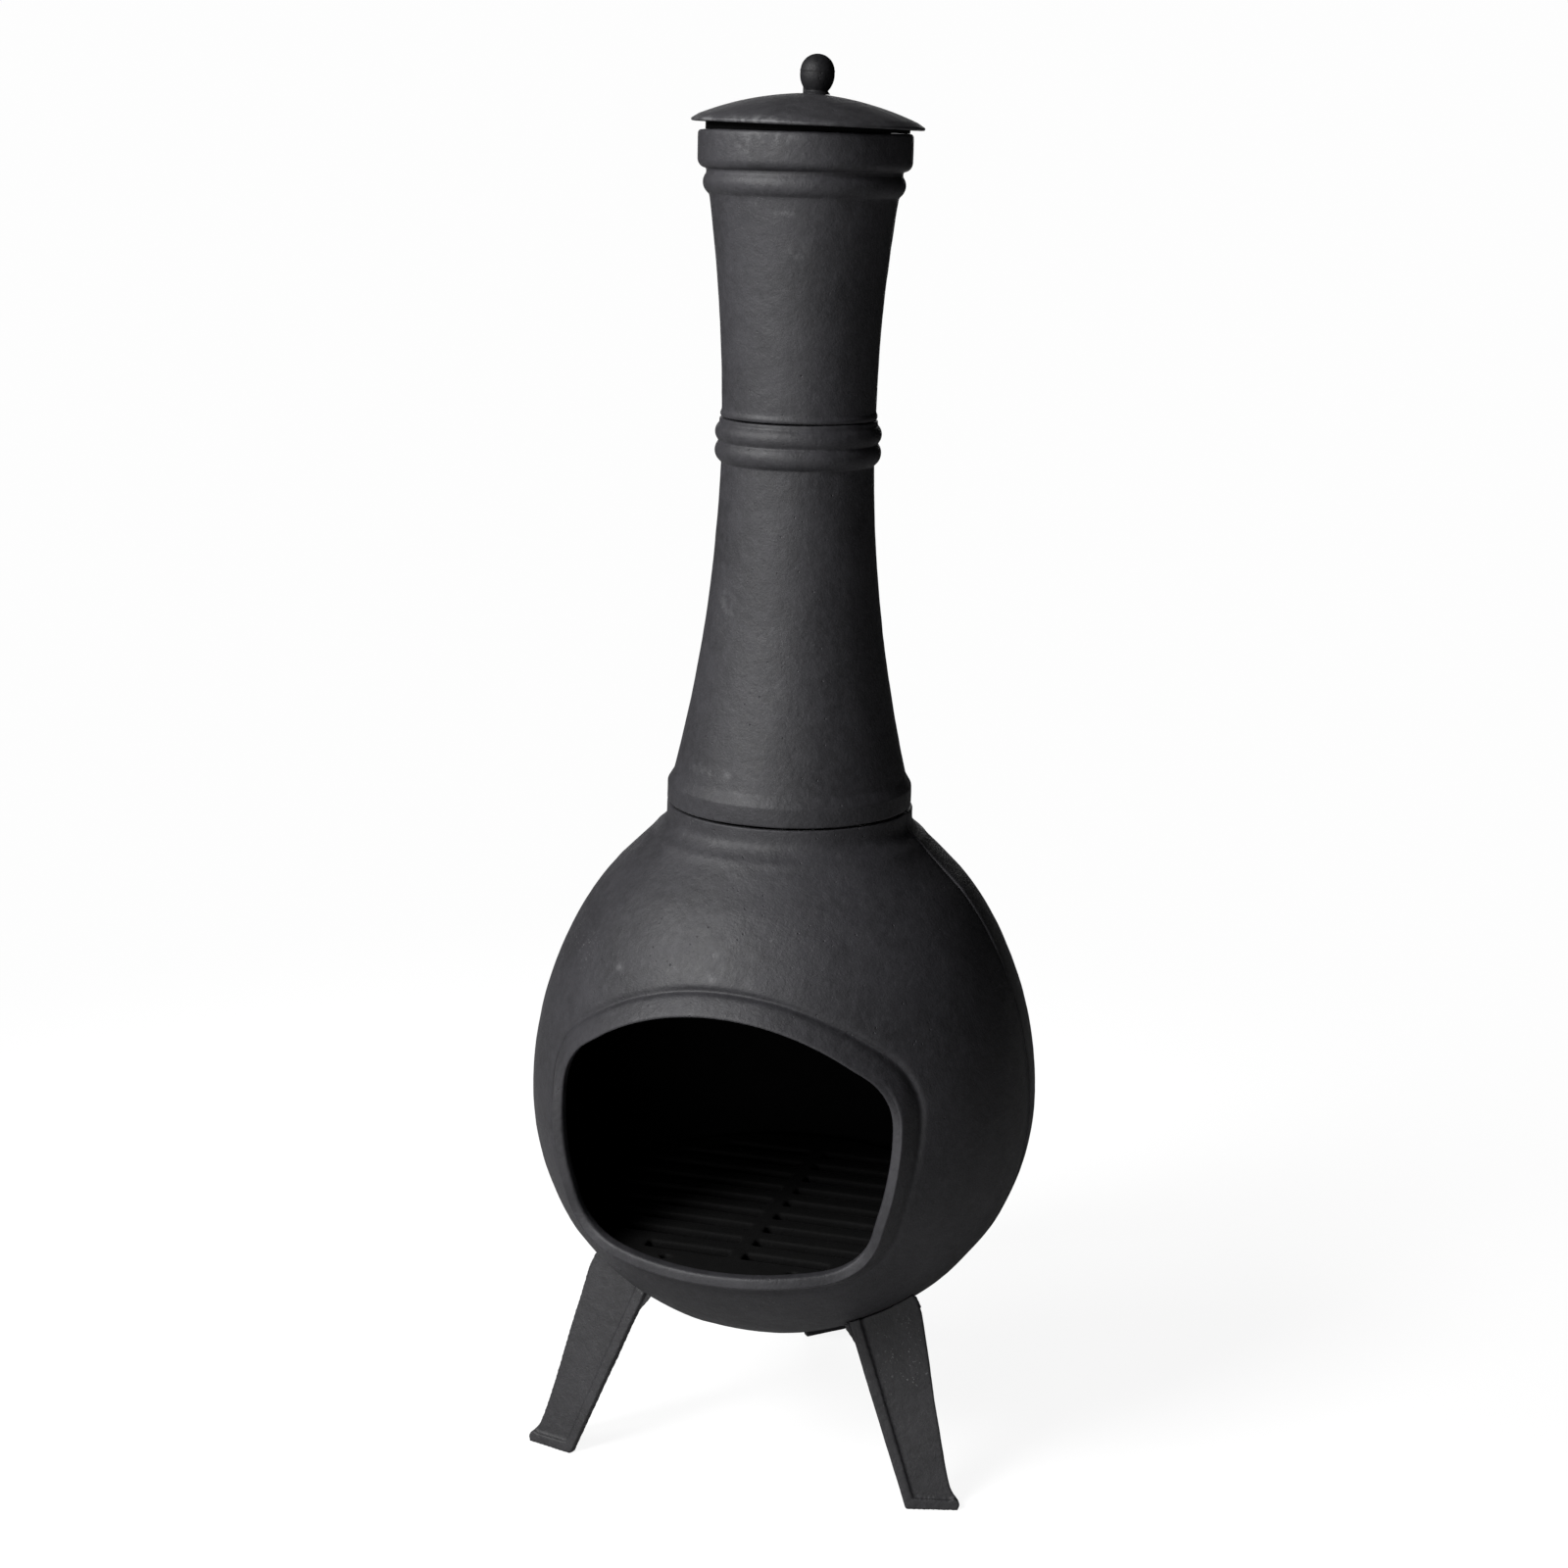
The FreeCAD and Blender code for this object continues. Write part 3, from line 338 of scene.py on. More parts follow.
# along the top the surround lies flatter, almost parallel to the bowl
BAND_TOP = BAND[:8] + [(15.3, -1.35), (15.0, -0.30), (14.7, 0.60), (14.35, 1.35), (13.9, 1.95), (13.2, 2.50), (12.2, 3.00), (10.8, 3.55), (9.2, 4.15), (7.4, 4.80), (5.6, 5.45)]
FACE_TOP = [(4.9, 5.70), (4.1, 5.95), (3.3, 6.20), (2.5, 6.38), (1.7, 6.42), (1.0, 6.20), (0.45, 5.70), (0.12, 4.90)]


def front_shell():
    ns = 640
    raw = resample(mouth_outline(), 0.5, closed=True)
    raw = smooth1(raw, 5.0, 0.5)
    sill = np.clip((268.0 - raw[:, 1]) / 44.0, 0, 1)
    raw[:, 1] -= 3.6 * sill * sill * (3 - 2 * sill)
    raw = resample(raw, 0.5, closed=True)
    tang = np.roll(raw, -3, 0) - np.roll(raw, 3, 0)
    nrm = np.column_stack([tang[:, 1], -tang[:, 0]])
    nrm /= np.linalg.norm(nrm, axis=1, keepdims=True)
    nrm = smooth1(nrm, 5.0, 0.5)
    nrm /= np.linalg.norm(nrm, axis=1, keepdims=True)
    far = raw + nrm * 24.5
    # the surround's outer edge, in the (around, along) domain of the bowl's skin
    tz = np.interp(far[:, 1], PROF[:, 1], T)
    rz = np.interp(tz, T, PROF[:, 0])
    fu = np.arcsin(np.clip(far[:, 0] / rz, -0.999, 0.999)) * 205.0
    centre = np.array([0.0, np.interp(318.0, PROF[:, 1], T)])
    ang = np.unwrap(np.arctan2(tz - centre[1], fu - centre[0]))
    order = np.arange(len(raw))
    if ang[-1] < ang[0]:
        order = order[::-1]
    ang, src = ang[order], order
    U = math.pi / 2 * 205.0
    corners = [math.atan2(y - centre[1], x) for x, y in ((U, 0), (U, TL), (-U, TL), (-U, 0))]
    base = np.linspace(ang[0], ang[0] + 2 * math.pi, ns, endpoint=False)
    want = base.copy()
    for c in corners:
        c0 = c
        while c0 < base[0]:
            c0 += 2 * math.pi
        while c0 >= base[0] + 2 * math.pi:
            c0 -= 2 * math.pi
        want[np.argmin(np.abs(want - c0))] = c0
    want = np.sort(want)
    ext_ang = np.r_[ang, ang[0] + 2 * math.pi]
    idx = np.interp(want, ext_ang, np.arange(len(ext_ang)))
    def pick(arr):
        e = np.vstack([arr[src], arr[src][:1]])
        i = np.clip(idx.astype(int), 0, len(e) - 2)
        f = (idx - i)[:, None]
        return e[i] * (1 - f) + e[i + 1] * f
    M, NN = pick(raw), pick(nrm)
    NN /= np.linalg.norm(NN, axis=1, keepdims=True)
    E = pick(np.column_stack([fu, tz]))
    # outer boundary point on the rectangle, along the same direction
    d = np.column_stack([np.cos(want), np.sin(want)])
    with np.errstate(divide="ignore", invalid="ignore"):
        tx = np.where(d[:, 0] > 0, U / d[:, 0], -U / d[:, 0])
        ty = np.where(d[:, 1] > 0, (TL - centre[1]) / d[:, 1], -centre[1] / d[:, 1])
    k = np.minimum(np.abs(tx), np.abs(ty))
    B = centre + d * k[:, None]
    B[:, 0] = np.clip(B[:, 0], -U, U)
    B[:, 1] = np.clip(B[:, 1], 0, TL)
    nr = 96
    # spacing: fine near the seam for its rounded edge, then even
    edge = np.array([0.0, 0.35, 0.8, 1.4, 2.2, 3.4, 5.0])
    rows_P, rows_N = [], []
    def skin(Udom, tdom, o):
        phi = Udom / 205.0
        r, z, n_r, n_z = at_t(tdom)
        rr, zz = r + o * n_r, z + o * n_z
        P = np.column_stack([rr * np.sin(phi), -rr * np.cos(phi), zz])
        N = np.column_stack([n_r * np.sin(phi), -n_r * np.cos(phi), n_z])
        return P, N
    L = np.linalg.norm(E - B, axis=1)
    fr = []
    for s in edge:
        fr.append(s / L)
    rest = np.linspace(0, 1, nr)[1:]
    for q in rest:
        fr.append(edge[-1] / L + (1 - edge[-1] / L) * q)
    fr = np.array(fr)  # rows x ns
    for w in fr:
        Q = B + (E - B) * w[:, None]
        r_here = at_t(Q[:, 1])[0]
        to_seam = (U - np.abs(Q[:, 0])) / 205.0 * np.maximum(r_here, 1)
        to_neck = TL - Q[:, 1]
        dist = np.minimum(to_seam, to_neck)
        rad = np.where(Q[:, 1] > TL - 62, 0.9, 0.5)
        o = np.where(dist < rad, np.sqrt(np.maximum(rad * rad - (rad - dist) ** 2, 0)) - rad, 0.0)
        P, N = skin(Q[:, 0], Q[:, 1], o)
        rows_P.append(P)
        rows_N.append(N)
    def front_point(dd, o):
        X = M[:, 0] + NN[:, 0] * dd
        Z = M[:, 1] + NN[:, 1] * dd
        R = radius_at(np.full(len(X), 1.0) * o, Z)
        y = -np.sqrt(np.maximum(R * R - X * X, 0))
        t0 = np.interp(Z, PROF[:, 1], T)
        _, _, n_r, n_z = at_t(t0)
        N = np.column_stack([n_r * X / R, n_r * y / R, n_z])
        return np.column_stack([X, y, Z]), N
    th = np.arctan2(M[:, 1] - 312.0, M[:, 0])
    # the groove is deepest along the top and the upper right, and runs out towards the lower left
    deep = 0.42 + 0.58 * np.clip(0.5 + 0.5 * np.cos(th - math.radians(52)), 0, 1) ** 0.8 + 0.12 * np.sin(th * 5.0) + 0.08 * np.sin(th * 11.0 + 1.0)
    flat = np.clip((np.sin(th) + 0.05) / 0.62, 0, 1)
    flat = flat * flat * (3 - 2 * flat)
    for (dd, o), (dt, ot) in zip(BAND[1:], BAND_TOP[1:]):
        d_here = dd + (dt - dd) * flat
        o_here = o + (ot - o) * flat
        P, N = front_point(d_here, np.where(o_here < 0, o_here * deep, o_here))
        rows_P.append(P)
        rows_N.append(N)
    edge_y = rows_P[-1][:, 1]
    for (dd, back), (dt, ot) in zip(FACE, FACE_TOP):
        P, N = front_point(dd, 5.0)
        P[:, 1] = edge_y + back
        P_top, _ = front_point(dt, ot)
        P = P * (1 - flat)[:, None] + P_top * flat[:, None]
        rows_P.append(P)
        rows_N.append(N)
    last_y = rows_P[-1][:, 1]
    back_P, back_N = front_point(0.0, -2.8)
    for w in (0.12, 0.34, 0.62, 1.0):
        P = back_P.copy()
        P[:, 1] = last_y + (back_P[:, 1] - last_y) * w
        rows_P.append(P)
        rows_N.append(back_N * 0.0)
    for dd, o in ((0.25, -4.0), (0.9, -4.7), (2.0, -5.0), (6.0, -5.0), (14.0, -5.0), (24.5, -5.0)):
        P, N = front_point(dd, o)
        rows_P.append(P)
        rows_N.append(N * 0.0 if dd < 2 else -N)
    inner = np.r_[fr[::-1][2::3]]
    inner = np.vstack([inner, np.zeros((1, ns))]) if inner[-1].max() > 0 else inner
    for w in inner:
        Q = B + (E - B) * w[:, None]
        P, N = skin(Q[:, 0], Q[:, 1], -5.0)
        rows_P.append(P)
        rows_N.append(-N)
    nv = len(rows_P)
    P = np.stack(rows_P, axis=1).reshape(-1, 3)
    N = np.stack(rows_N, axis=1).reshape(-1, 3)
    disp = casting(P, 11, 0.35, 0.10, 0.035)
    seam = np.abs(P[:, 1]) < 0.02
    pole = (P[:, 0] ** 2 + P[:, 1] ** 2) < 1.0
    disp[seam | pole] = 0
    P = P + N * disp[:, None]
    P[:, 1] = np.minimum(P[:, 1], 0.0) - 0.12 - 0.25 * np.clip((P[:, 2] - 478.0) / 12.0, 0, 1)
    F = grid_faces(ns, nv)
    extra = seam_lug_boxes(-1) + ring_boxes((45, -45), 69.0, 95.0, 26.0, 527.5, 14.0) + ring_boxes((38, -38), 148.0, 163.0, 26.0, 180.0, 12.0)
    V2, F2 = join_shells(P, F, [(v + np.array([0, -0.3, 0]), f) for v, f in extra])
    return make_object("bowl_front", V2, F2, merge=0.002)


def rear_shell():
    npz, nph = 260, 300
    e = np.array([0.0, 0.35, 0.8, 1.4, 2.2, 3.4])
    t = np.r_[np.linspace(0, TL - 5, npz), TL - e[::-1]]
    a0 = np.r_[e, np.linspace(5, math.pi / 2 * 205.0, nph // 2)]
    u = np.r_[-(math.pi / 2 * 205.0) + a0, ((math.pi / 2 * 205.0) - a0)[::-1][1:]]
    Uo, Tt = np.meshgrid(u, t, indexing="ij")
    U = math.pi / 2 * 205.0

    def surf(o_extra, inner):
        r, z, n_r, n_z = at_t(Tt.ravel())
        to_seam = (U - np.abs(Uo.ravel())) / 205.0 * np.maximum(r, 1)
        dist = np.minimum(to_seam, TL - Tt.ravel())
        rad = 1.8
        o = np.where(dist < rad, np.sqrt(np.maximum(rad * rad - (rad - dist) ** 2, 0)) - rad, 0.0) if not inner else np.zeros(len(r))
        o = o + o_extra
        phi = Uo.ravel() / 205.0
        rr, zz = r + o * n_r, z + o * n_z
        P = np.column_stack([rr * np.sin(phi), rr * np.cos(phi), zz])
        N = np.column_stack([n_r * np.sin(phi), n_r * np.cos(phi), n_z])
        d = casting(P, 23, 0.35, 0.10, 0.035)
        d[(np.abs(P[:, 1]) < 0.02) | (P[:, 0] ** 2 + P[:, 1] ** 2 < 1.0)] = 0
        P = P + N * (d * (-1 if inner else 1))[:, None]
        P[:, 1] = np.maximum(P[:, 1], 0.0)
        return P
    nu, nt = len(u), len(t)
    outer, inn = surf(1.1, False), surf(-5.0, True)
    outer[:, 2] = np.minimum(outer[:, 2], 541.6)
    V = np.vstack([outer, inn])
    off = nu * nt
    F = [tuple(f[::-1]) for f in grid_faces(nu, nt, False, False)] + [tuple(f) for f in grid_faces(nu, nt, False, False, off)]
    for j in range(nt - 1):
        for i in (0, nu - 1):
            a, b = i * nt + j, i * nt + j + 1
            F.append((a, b, b + off, a + off) if i == 0 else (b, a, a + off, b + off))
    for i in range(nu - 1):
        for j in (0, nt - 1):
            a, b = i * nt + j, (i + 1) * nt + j
            F.append((b, a, a + off, b + off) if j == 0 else (a, b, b + off, a + off))
    extra = seam_lug_boxes(1) + ring_boxes((135, -135), 69.0, 95.0, 26.0, 527.5, 14.0) + ring_boxes((142, -142), 148.0, 163.0, 26.0, 180.0, 12.0)
    V2, F2 = join_shells(V, F, extra)
    return make_object("bowl_rear", V2, F2, merge=0.002)


# ------------------------------------------------------------------ flue, lid and knob profiles
lower_pts = [(97.4, 543.3), (97.4, 558.5), (92.6, 566.5), (59.6, 812.5), (61.8, 829.0), (61.4, 843.0), (61.4, 846.8),
             (54.6, 846.8), (54.6, 812.5), (87.6, 566.5), (90.9, 557.5), (90.9, 543.3)]
lower_segs = [None, None, (1150.0, -1), (10.5, 1), (9.3, 1), None, None, None, (1155.0, 1), None, None, None]
upper_pts = [(60.2, 847.6), (59.8, 852.8), (71.9, 1013.5), (72.6, 1015.5), (74.7, 1031.0), (75.0, 1034.3), (81.7, 1041.0),
             (81.7, 1060.3), (79.4, 1062.7), (66.0, 1062.7), (66.0, 1013.5), (54.8, 852.8), (54.8, 847.6)]
upper_segs = [(3.9, 1), (1250.0, -1), None, (10.3, 1), None, (7.0, 1), None, (2.7, 1), None, None, (1255.0, 1), None, None]
lid_pts = [(3.3, 1091.0), (3.3, 1085.0), (59.5, 1070.4), (59.5, 1052.0), (63.0, 1052.0), (63.0, 1067.2), (66.0, 1067.2), (66.0, 1063.2), (77.5, 1063.2),
           (77.5, 1067.0), (87.8, 1067.0), (88.6, 1069.2), (82.6, 1072.9)]
lid_segs = [None, (215.0, -1), None, None, None, None, None, None, None, None, (1.6, 1), None, (243.0, 1)]
knob_pts = [(3.0, 1090.4), (10.6, 1090.4), (8.3, 1092.9), (12.9, 1107.1), (0.0, 1120.0), (0.0, 1106.0), (3.0, 1106.0)]
knob_segs = [None, None, (18.0, 1), (12.9, 1), None, None, None]


def dress(ob, nodes, body):
    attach(ob, body)
    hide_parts(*nodes)
    return ob


front = dress(front_shell(), ["belly_front_shell"], "base")
rear = dress(rear_shell(), ["belly_rear_shell"], "base")


def flue(name, pts, segs, seed, lugs):
    prof = rounded_profile(pts, segs, sigma=0.75)
    ob = turned(name, prof, 256, seed, 0.28, 0.09, 0.03)
    return ob


def with_boxes(ob, extra):
    """Adds closed cast lugs to a piece."""
    me = ob.data
    v = np.zeros(len(me.vertices) * 3)
    me.vertices.foreach_get("co", v)
    v = v.reshape(-1, 3) / MM
    f = [tuple(p.vertices) for p in me.polygons]
    V2, F2 = join_shells(v, f, extra)
    name = ob.name
    bpy.data.objects.remove(ob)
    return make_object(name, V2, F2)


lower = flue("flue_lower_skin", lower_pts, lower_segs, 31, None)
lower = with_boxes(lower, ring_boxes((45, -45, 135, -135), 69.0, 93.0, 26.0, 541.6, 13.4) + ring_boxes((0, 120, 240), 38.0, 56.5, 18.0, 836.3, 10.8))
dress(lower, ["flue_lower"], "base")
upper = flue("flue_upper_skin", upper_pts, upper_segs, 37, None)
upper = with_boxes(upper, ring_boxes((0, 120, 240), 38.0, 56.5, 18.0, 847.3, 10.8))
dress(upper, ["flue_upper"], "base")

lid_prof = rounded_profile(lid_pts, lid_segs, sigma=0.45, step=0.25)
lid = turned("rain_lid_skin", lid_prof, 256, 41, 0.18, 0.07, 0.03)


def settle(ob, shift=0.0):
    """The loose lid sits a touch off centre and leans to one side."""
    toward = Vector((math.sin(math.radians(16)), -math.cos(math.radians(16)), 0))
    across = Vector((math.cos(math.radians(16)), math.sin(math.radians(16)), 0))
    pivot = Vector((0, 0, 1.062))
    lean = Matrix.Rotation(math.radians(-1.25), 4, toward)
    ob.data.transform(Matrix.Translation(across * 0.0015) @ Matrix.Translation(pivot) @ lean @ Matrix.Translation(across * shift - pivot))
    ob.data.update()


def seat(ob):
    """The ring under the lid beds down evenly on the collar, so that its foot stays level while the rest leans."""
    me = ob.data
    n = len(me.vertices)
    co = np.zeros(n * 3)
    me.vertices.foreach_get("co", co)
    P = co.reshape(-1, 3) / MM
    r = np.hypot(P[:, 0], P[:, 1])
    ring = (P[:, 2] < 1064.2) & (r > 64.0) & (r < 79.5)
    level = ring.astype(float)
    settle(ob)
    me.vertices.foreach_get("co", co)
    Q = co.reshape(-1, 3) / MM
    Q[:, 2] = np.where(level > 0, 1062.95 + (P[:, 2] - 1063.2) * 0.5, Q[:, 2])
    me.vertices.foreach_set("co", (Q * MM).ravel())
    me.update()


seat(lid)
dress(lid, ["rain_lid"], "lid")

knob_prof = resample(path(knob_pts, knob_segs), 0.5, closed=True)
knob_prof = smooth1(knob_prof, 0.5, 0.5)
knob_prof[:, 0] = np.maximum(knob_prof[:, 0], 0)
ridge = np.exp(-((knob_prof[:, 1] - 1107.6) / 0.55) ** 2) * 0.35 * (knob_prof[:, 0] > 8)
knob_prof[:, 0] += ridge
knob = turned("lid_knob_skin", knob_prof, 96, 43, 0.16, 0.12, 0.03, merge=0.001)
settle(knob, 0.0052)
dress(knob, ["lid_knob"], "lid")


# ------------------------------------------------------------------ legs and grate: the design's own solids with softened, cast edges
def recast(name, source, voxel, smooth_steps, seed, low, mid, fine, floor=None):
    src = frame["nodes"][source]
    me = src.data.copy()
    ob = bpy.data.objects.new(name, me)
    bpy.context.scene.collection.objects.link(ob)
    rm = ob.modifiers.new("remesh", "REMESH")
    rm.mode = "VOXEL"
    rm.voxel_size = voxel * MM
    rm.adaptivity = 0.0
    sm = ob.modifiers.new("smooth", "SMOOTH")
    sm.factor = 0.5
    sm.iterations = smooth_steps
    bpy.context.view_layer.update()
    dg = bpy.context.evaluated_depsgraph_get()
    new = bpy.data.meshes.new_from_object(ob.evaluated_get(dg))
    ob.modifiers.clear()
    ob.data = new
    bpy.data.meshes.remove(me)
    n = len(new.vertices)
    co = np.zeros(n * 3)
    no = np.zeros(n * 3)
    new.vertices.foreach_get("co", co)
    new.vertices.foreach_get("normal", no)
    P = co.reshape(-1, 3) / MM
    P = P + no.reshape(-1, 3) * casting(P, seed, low, mid, fine)[:, None]
    if floor is not None:
        P[:, 2] = np.maximum(P[:, 2], floor)
    new.vertices.foreach_set("co", (P * MM).ravel())
    new.polygons.foreach_set("use_smooth", [True] * len(new.polygons))
    new.materials.clear()
    new.update()
    new.name = name
    return ob


for leg, seed in (("leg_front_right", 51), ("leg_front_left", 53), ("leg_rear", 57)):
    ob = recast(leg + "_cast", leg, 1.0, 8, seed, 0.25, 0.06, 0.05, floor=0.0)
    dress(ob, [leg], "base")
grate = recast("fire_grate_cast", "fire_grate", 1.3, 5, 61, 0.2, 0.12, 0.06)
dress(grate, ["fire_grate"], "grate")


# ------------------------------------------------------------------ materials
def node(nt, kind, **kw):
    n = nt.nodes.new(kind)
    for k, v in kw.items():
        if k in n.inputs:
            n.inputs[k].default_value = v
        else:
            setattr(n, k, v)
    return n


def iron(name, base=(0.0218, 0.0212, 0.0244), rough=0.60, wear=0.5, soot_and_painted_shade=0.0, seed=0.0, spec=0.5):
    """Matt heat-resistant paint over sand-cast iron: fine granular skin, pits, soft blotches, faint pale scuffs."""
    m = bpy.data.materials.new(name)
    m.use_nodes = True
    nt = m.node_tree
    nt.nodes.clear()
    out = node(nt, "ShaderNodeOutputMaterial")
    bs = node(nt, "ShaderNodeBsdfPrincipled")
    nt.links.new(bs.outputs["BSDF"], out.inputs["Surface"])
    co = node(nt, "ShaderNodeTexCoord")
    mp = node(nt, "ShaderNodeMapping")
    mp.inputs["Location"].default_value = (seed, seed * 0.7, seed * 1.3)
    nt.links.new(co.outputs["Object"], mp.inputs["Vector"])
    vec = mp.outputs["Vector"]

    def noise(scale, detail=3.0, rough_=0.55, dist=0.0):
        n = node(nt, "ShaderNodeTexNoise")
        n.inputs["Scale"].default_value = scale
        n.inputs["Detail"].default_value = detail
        n.inputs["Roughness"].default_value = rough_
        n.inputs["Distortion"].default_value = dist
        nt.links.new(vec, n.inputs["Vector"])
        return n.outputs["Fac"]

    def math_(op, a, b=None, clamp=False):
        n = node(nt, "ShaderNodeMath", operation=op)
        n.use_clamp = clamp
        for i, x in enumerate((a, b)):
            if x is None:
                continue
            if isinstance(x, (int, float)):
                n.inputs[i].default_value = x
            else:
                nt.links.new(x, n.inputs[i])
        return n.outputs[0]

    def ramp(fac, lo, hi):
        n = node(nt, "ShaderNodeMapRange")
        n.inputs["From Min"].default_value = lo
        n.inputs["From Max"].default_value = hi
        n.interpolation_type = "SMOOTHSTEP"
        nt.links.new(fac, n.inputs["Value"])
        return n.outputs["Result"]

    def mix(fac, a, b):
        n = node(nt, "ShaderNodeMix", data_type="RGBA")
        if isinstance(fac, (int, float)):
            n.inputs["Factor"].default_value = fac
        else:
            nt.links.new(fac, n.inputs["Factor"])
        for sock, x in ((n.inputs["A"], a), (n.inputs["B"], b)):
            if isinstance(x, tuple):
                sock.default_value = (*x, 1.0)
            else:
                nt.links.new(x, sock)
        return n.outputs["Result"]

    blotch = noise(14.0, 4.0, 0.6)
    grainy = noise(230.0, 3.0, 0.6)
    mottle = noise(62.0, 3.0, 0.6)
    b1 = tuple(x * 0.80 for x in base)
    b2 = tuple(x * 1.22 for x in base)
    col = mix(ramp(blotch, 0.35, 0.68), b1, b2)
    col = mix(math_("MULTIPLY", ramp(mottle, 0.45, 0.75), 0.35), col, tuple(x * 1.5 for x in base))
    col = mix(math_("MULTIPLY", ramp(noise(150.0, 3.0, 0.65), 0.42, 0.66), 0.34), col, tuple(x * 1.75 for x in base))
    col = mix(math_("MULTIPLY", ramp(noise(330.0, 3.0, 0.7), 0.40, 0.30), 0.55), col, tuple(x * 0.35 for x in base))
    col = mix(math_("MULTIPLY", ramp(grainy, 0.60, 0.78), 0.30), col, tuple(x * 2.2 for x in base))
    # pale scuffs: sparse patches broken up by the grain
    patch = ramp(noise(9.0, 2.0, 0.5, 0.6), 0.60, 0.72)
    chip = ramp(noise(420.0, 2.0, 0.7), 0.63, 0.72)
    scuff = math_("MULTIPLY", math_("MULTIPLY", patch, chip), wear)
    col = mix(scuff, col, (0.22, 0.22, 0.225))
    # pale marks from a per-vertex attribute: worn paint on exposed edges and rubbed places, and on the lid's rim worn
    # paint together with a painted highlight on its lit side
    at = node(nt, "ShaderNodeAttribute", attribute_name="edge")
    edge = math_("MULTIPLY", at.outputs["Fac"], ramp(noise(130.0, 4.0, 0.65), 0.42, 0.66))
    col = mix(math_("MULTIPLY", edge, 0.7), col, (0.16, 0.16, 0.165))
    # near-black blotches where this is set, on the grate: soot together with painted shade of the bowl's inside
    if soot_and_painted_shade:
        col = mix(math_("MULTIPLY", ramp(noise(25.0, 4.0, 0.6), 0.3, 0.7), soot_and_painted_shade), col, (0.0035, 0.0034, 0.0033))
    # near black from a per-vertex attribute: painted shade on the ring under the lid, and soot together with painted
    # shade on the bowl's inner surface
    sa = node(nt, "ShaderNodeAttribute", attribute_name="soot_and_painted_shade")
    col = mix(sa.outputs["Fac"], col, (0.0012, 0.0012, 0.0012))
    nt.links.new(col, bs.inputs["Base Color"])
    r = math_("ADD", math_("MULTIPLY", math_("SUBTRACT", mottle, 0.5), 0.20), rough)
    r = math_("ADD", r, math_("MULTIPLY", math_("SUBTRACT", grainy, 0.5), 0.14))
    r = math_("ADD", r, math_("MULTIPLY", sa.outputs["Fac"], 0.3), clamp=True)
    nt.links.new(r, bs.inputs["Roughness"])
    nt.links.new(math_("SUBTRACT", spec, math_("MULTIPLY", sa.outputs["Fac"], spec * 0.8)), bs.inputs["Specular IOR Level"])
    # skin: grain of the moulding sand, with pits
    sand = noise(520.0, 4.0, 0.62)
    mid = noise(170.0, 3.0, 0.55)
    big = noise(48.0, 2.0, 0.5)
    vor = node(nt, "ShaderNodeTexVoronoi", feature="F1")
    vor.inputs["Scale"].default_value = 210.0
    nt.links.new(vec, vor.inputs["Vector"])
    pit = math_("MULTIPLY", ramp(vor.outputs["Distance"], 0.22, 0.0), ramp(noise(70.0, 1.0), 0.58, 0.66))
    h = math_("ADD", math_("MULTIPLY", sand, 0.00042), math_("MULTIPLY", mid, 0.00062))
    h = math_("ADD", h, math_("MULTIPLY", big, 0.0007))
    h = math_("SUBTRACT", h, math_("MULTIPLY", pit, 0.00075))
    bump = node(nt, "ShaderNodeBump")
    bump.inputs["Strength"].default_value = 0.75
    bump.inputs["Distance"].default_value = 1.0
    nt.links.new(h, bump.inputs["Height"])
    nt.links.new(bump.outputs["Normal"], bs.inputs["Normal"])
    return m


def steel(name):
    m = bpy.data.materials.new(name)
    m.use_nodes = True
    nt = m.node_tree
    bs = nt.nodes["Principled BSDF"]
    co = node(nt, "ShaderNodeTexCoord")
    n = node(nt, "ShaderNodeTexNoise")
    n.inputs["Scale"].default_value = 300.0
    n.inputs["Detail"].default_value = 4.0
    nt.links.new(co.outputs["Object"], n.inputs["Vector"])
    ramp = node(nt, "ShaderNodeMapRange")
    ramp.inputs["To Min"].default_value = 0.42
    ramp.inputs["To Max"].default_value = 0.68
    nt.links.new(n.outputs["Fac"], ramp.inputs["Value"])
    nt.links.new(ramp.outputs["Result"], bs.inputs["Roughness"])
    mixn = node(nt, "ShaderNodeMix", data_type="RGBA")
    mixn.inputs["A"].default_value = (0.05, 0.05, 0.052, 1)
    mixn.inputs["B"].default_value = (0.16, 0.155, 0.15, 1)
    nt.links.new(n.outputs["Fac"], mixn.inputs["Factor"])
    nt.links.new(mixn.outputs["Result"], bs.inputs["Base Color"])
    bs.inputs["Metallic"].default_value = 0.8
    bump = node(nt, "ShaderNodeBump")
    bump.inputs["Strength"].default_value = 0.4
    bump.inputs["Distance"].default_value = 0.0003
    nt.links.new(n.outputs["Fac"], bump.inputs["Height"])
    nt.links.new(bump.outputs["Normal"], bs.inputs["Normal"])
    return m


mat_shell = iron("iron_shell", seed=0.0)
mat_flue = iron("iron_flue", seed=3.1)
mat_lid = iron("iron_lid", base=(0.0330, 0.0324, 0.0356), seed=5.7, wear=0.9)
mat_leg = iron("iron_leg", base=(0.0200, 0.0195, 0.0216), seed=8.3, wear=0.7)
# the grate is made near black: soot together with painted shade of the bowl's inside
mat_grate = iron("iron_grate", base=(0.0030, 0.0030, 0.0031), rough=0.8, wear=0.1, soot_and_painted_shade=0.8, seed=11.0, spec=0.14)
mat_knob = iron("iron_knob", base=(0.0085, 0.0083, 0.0095), rough=0.6, seed=6.4, wear=0.4, spec=0.28)
mat_steel = steel("steel_fastener")


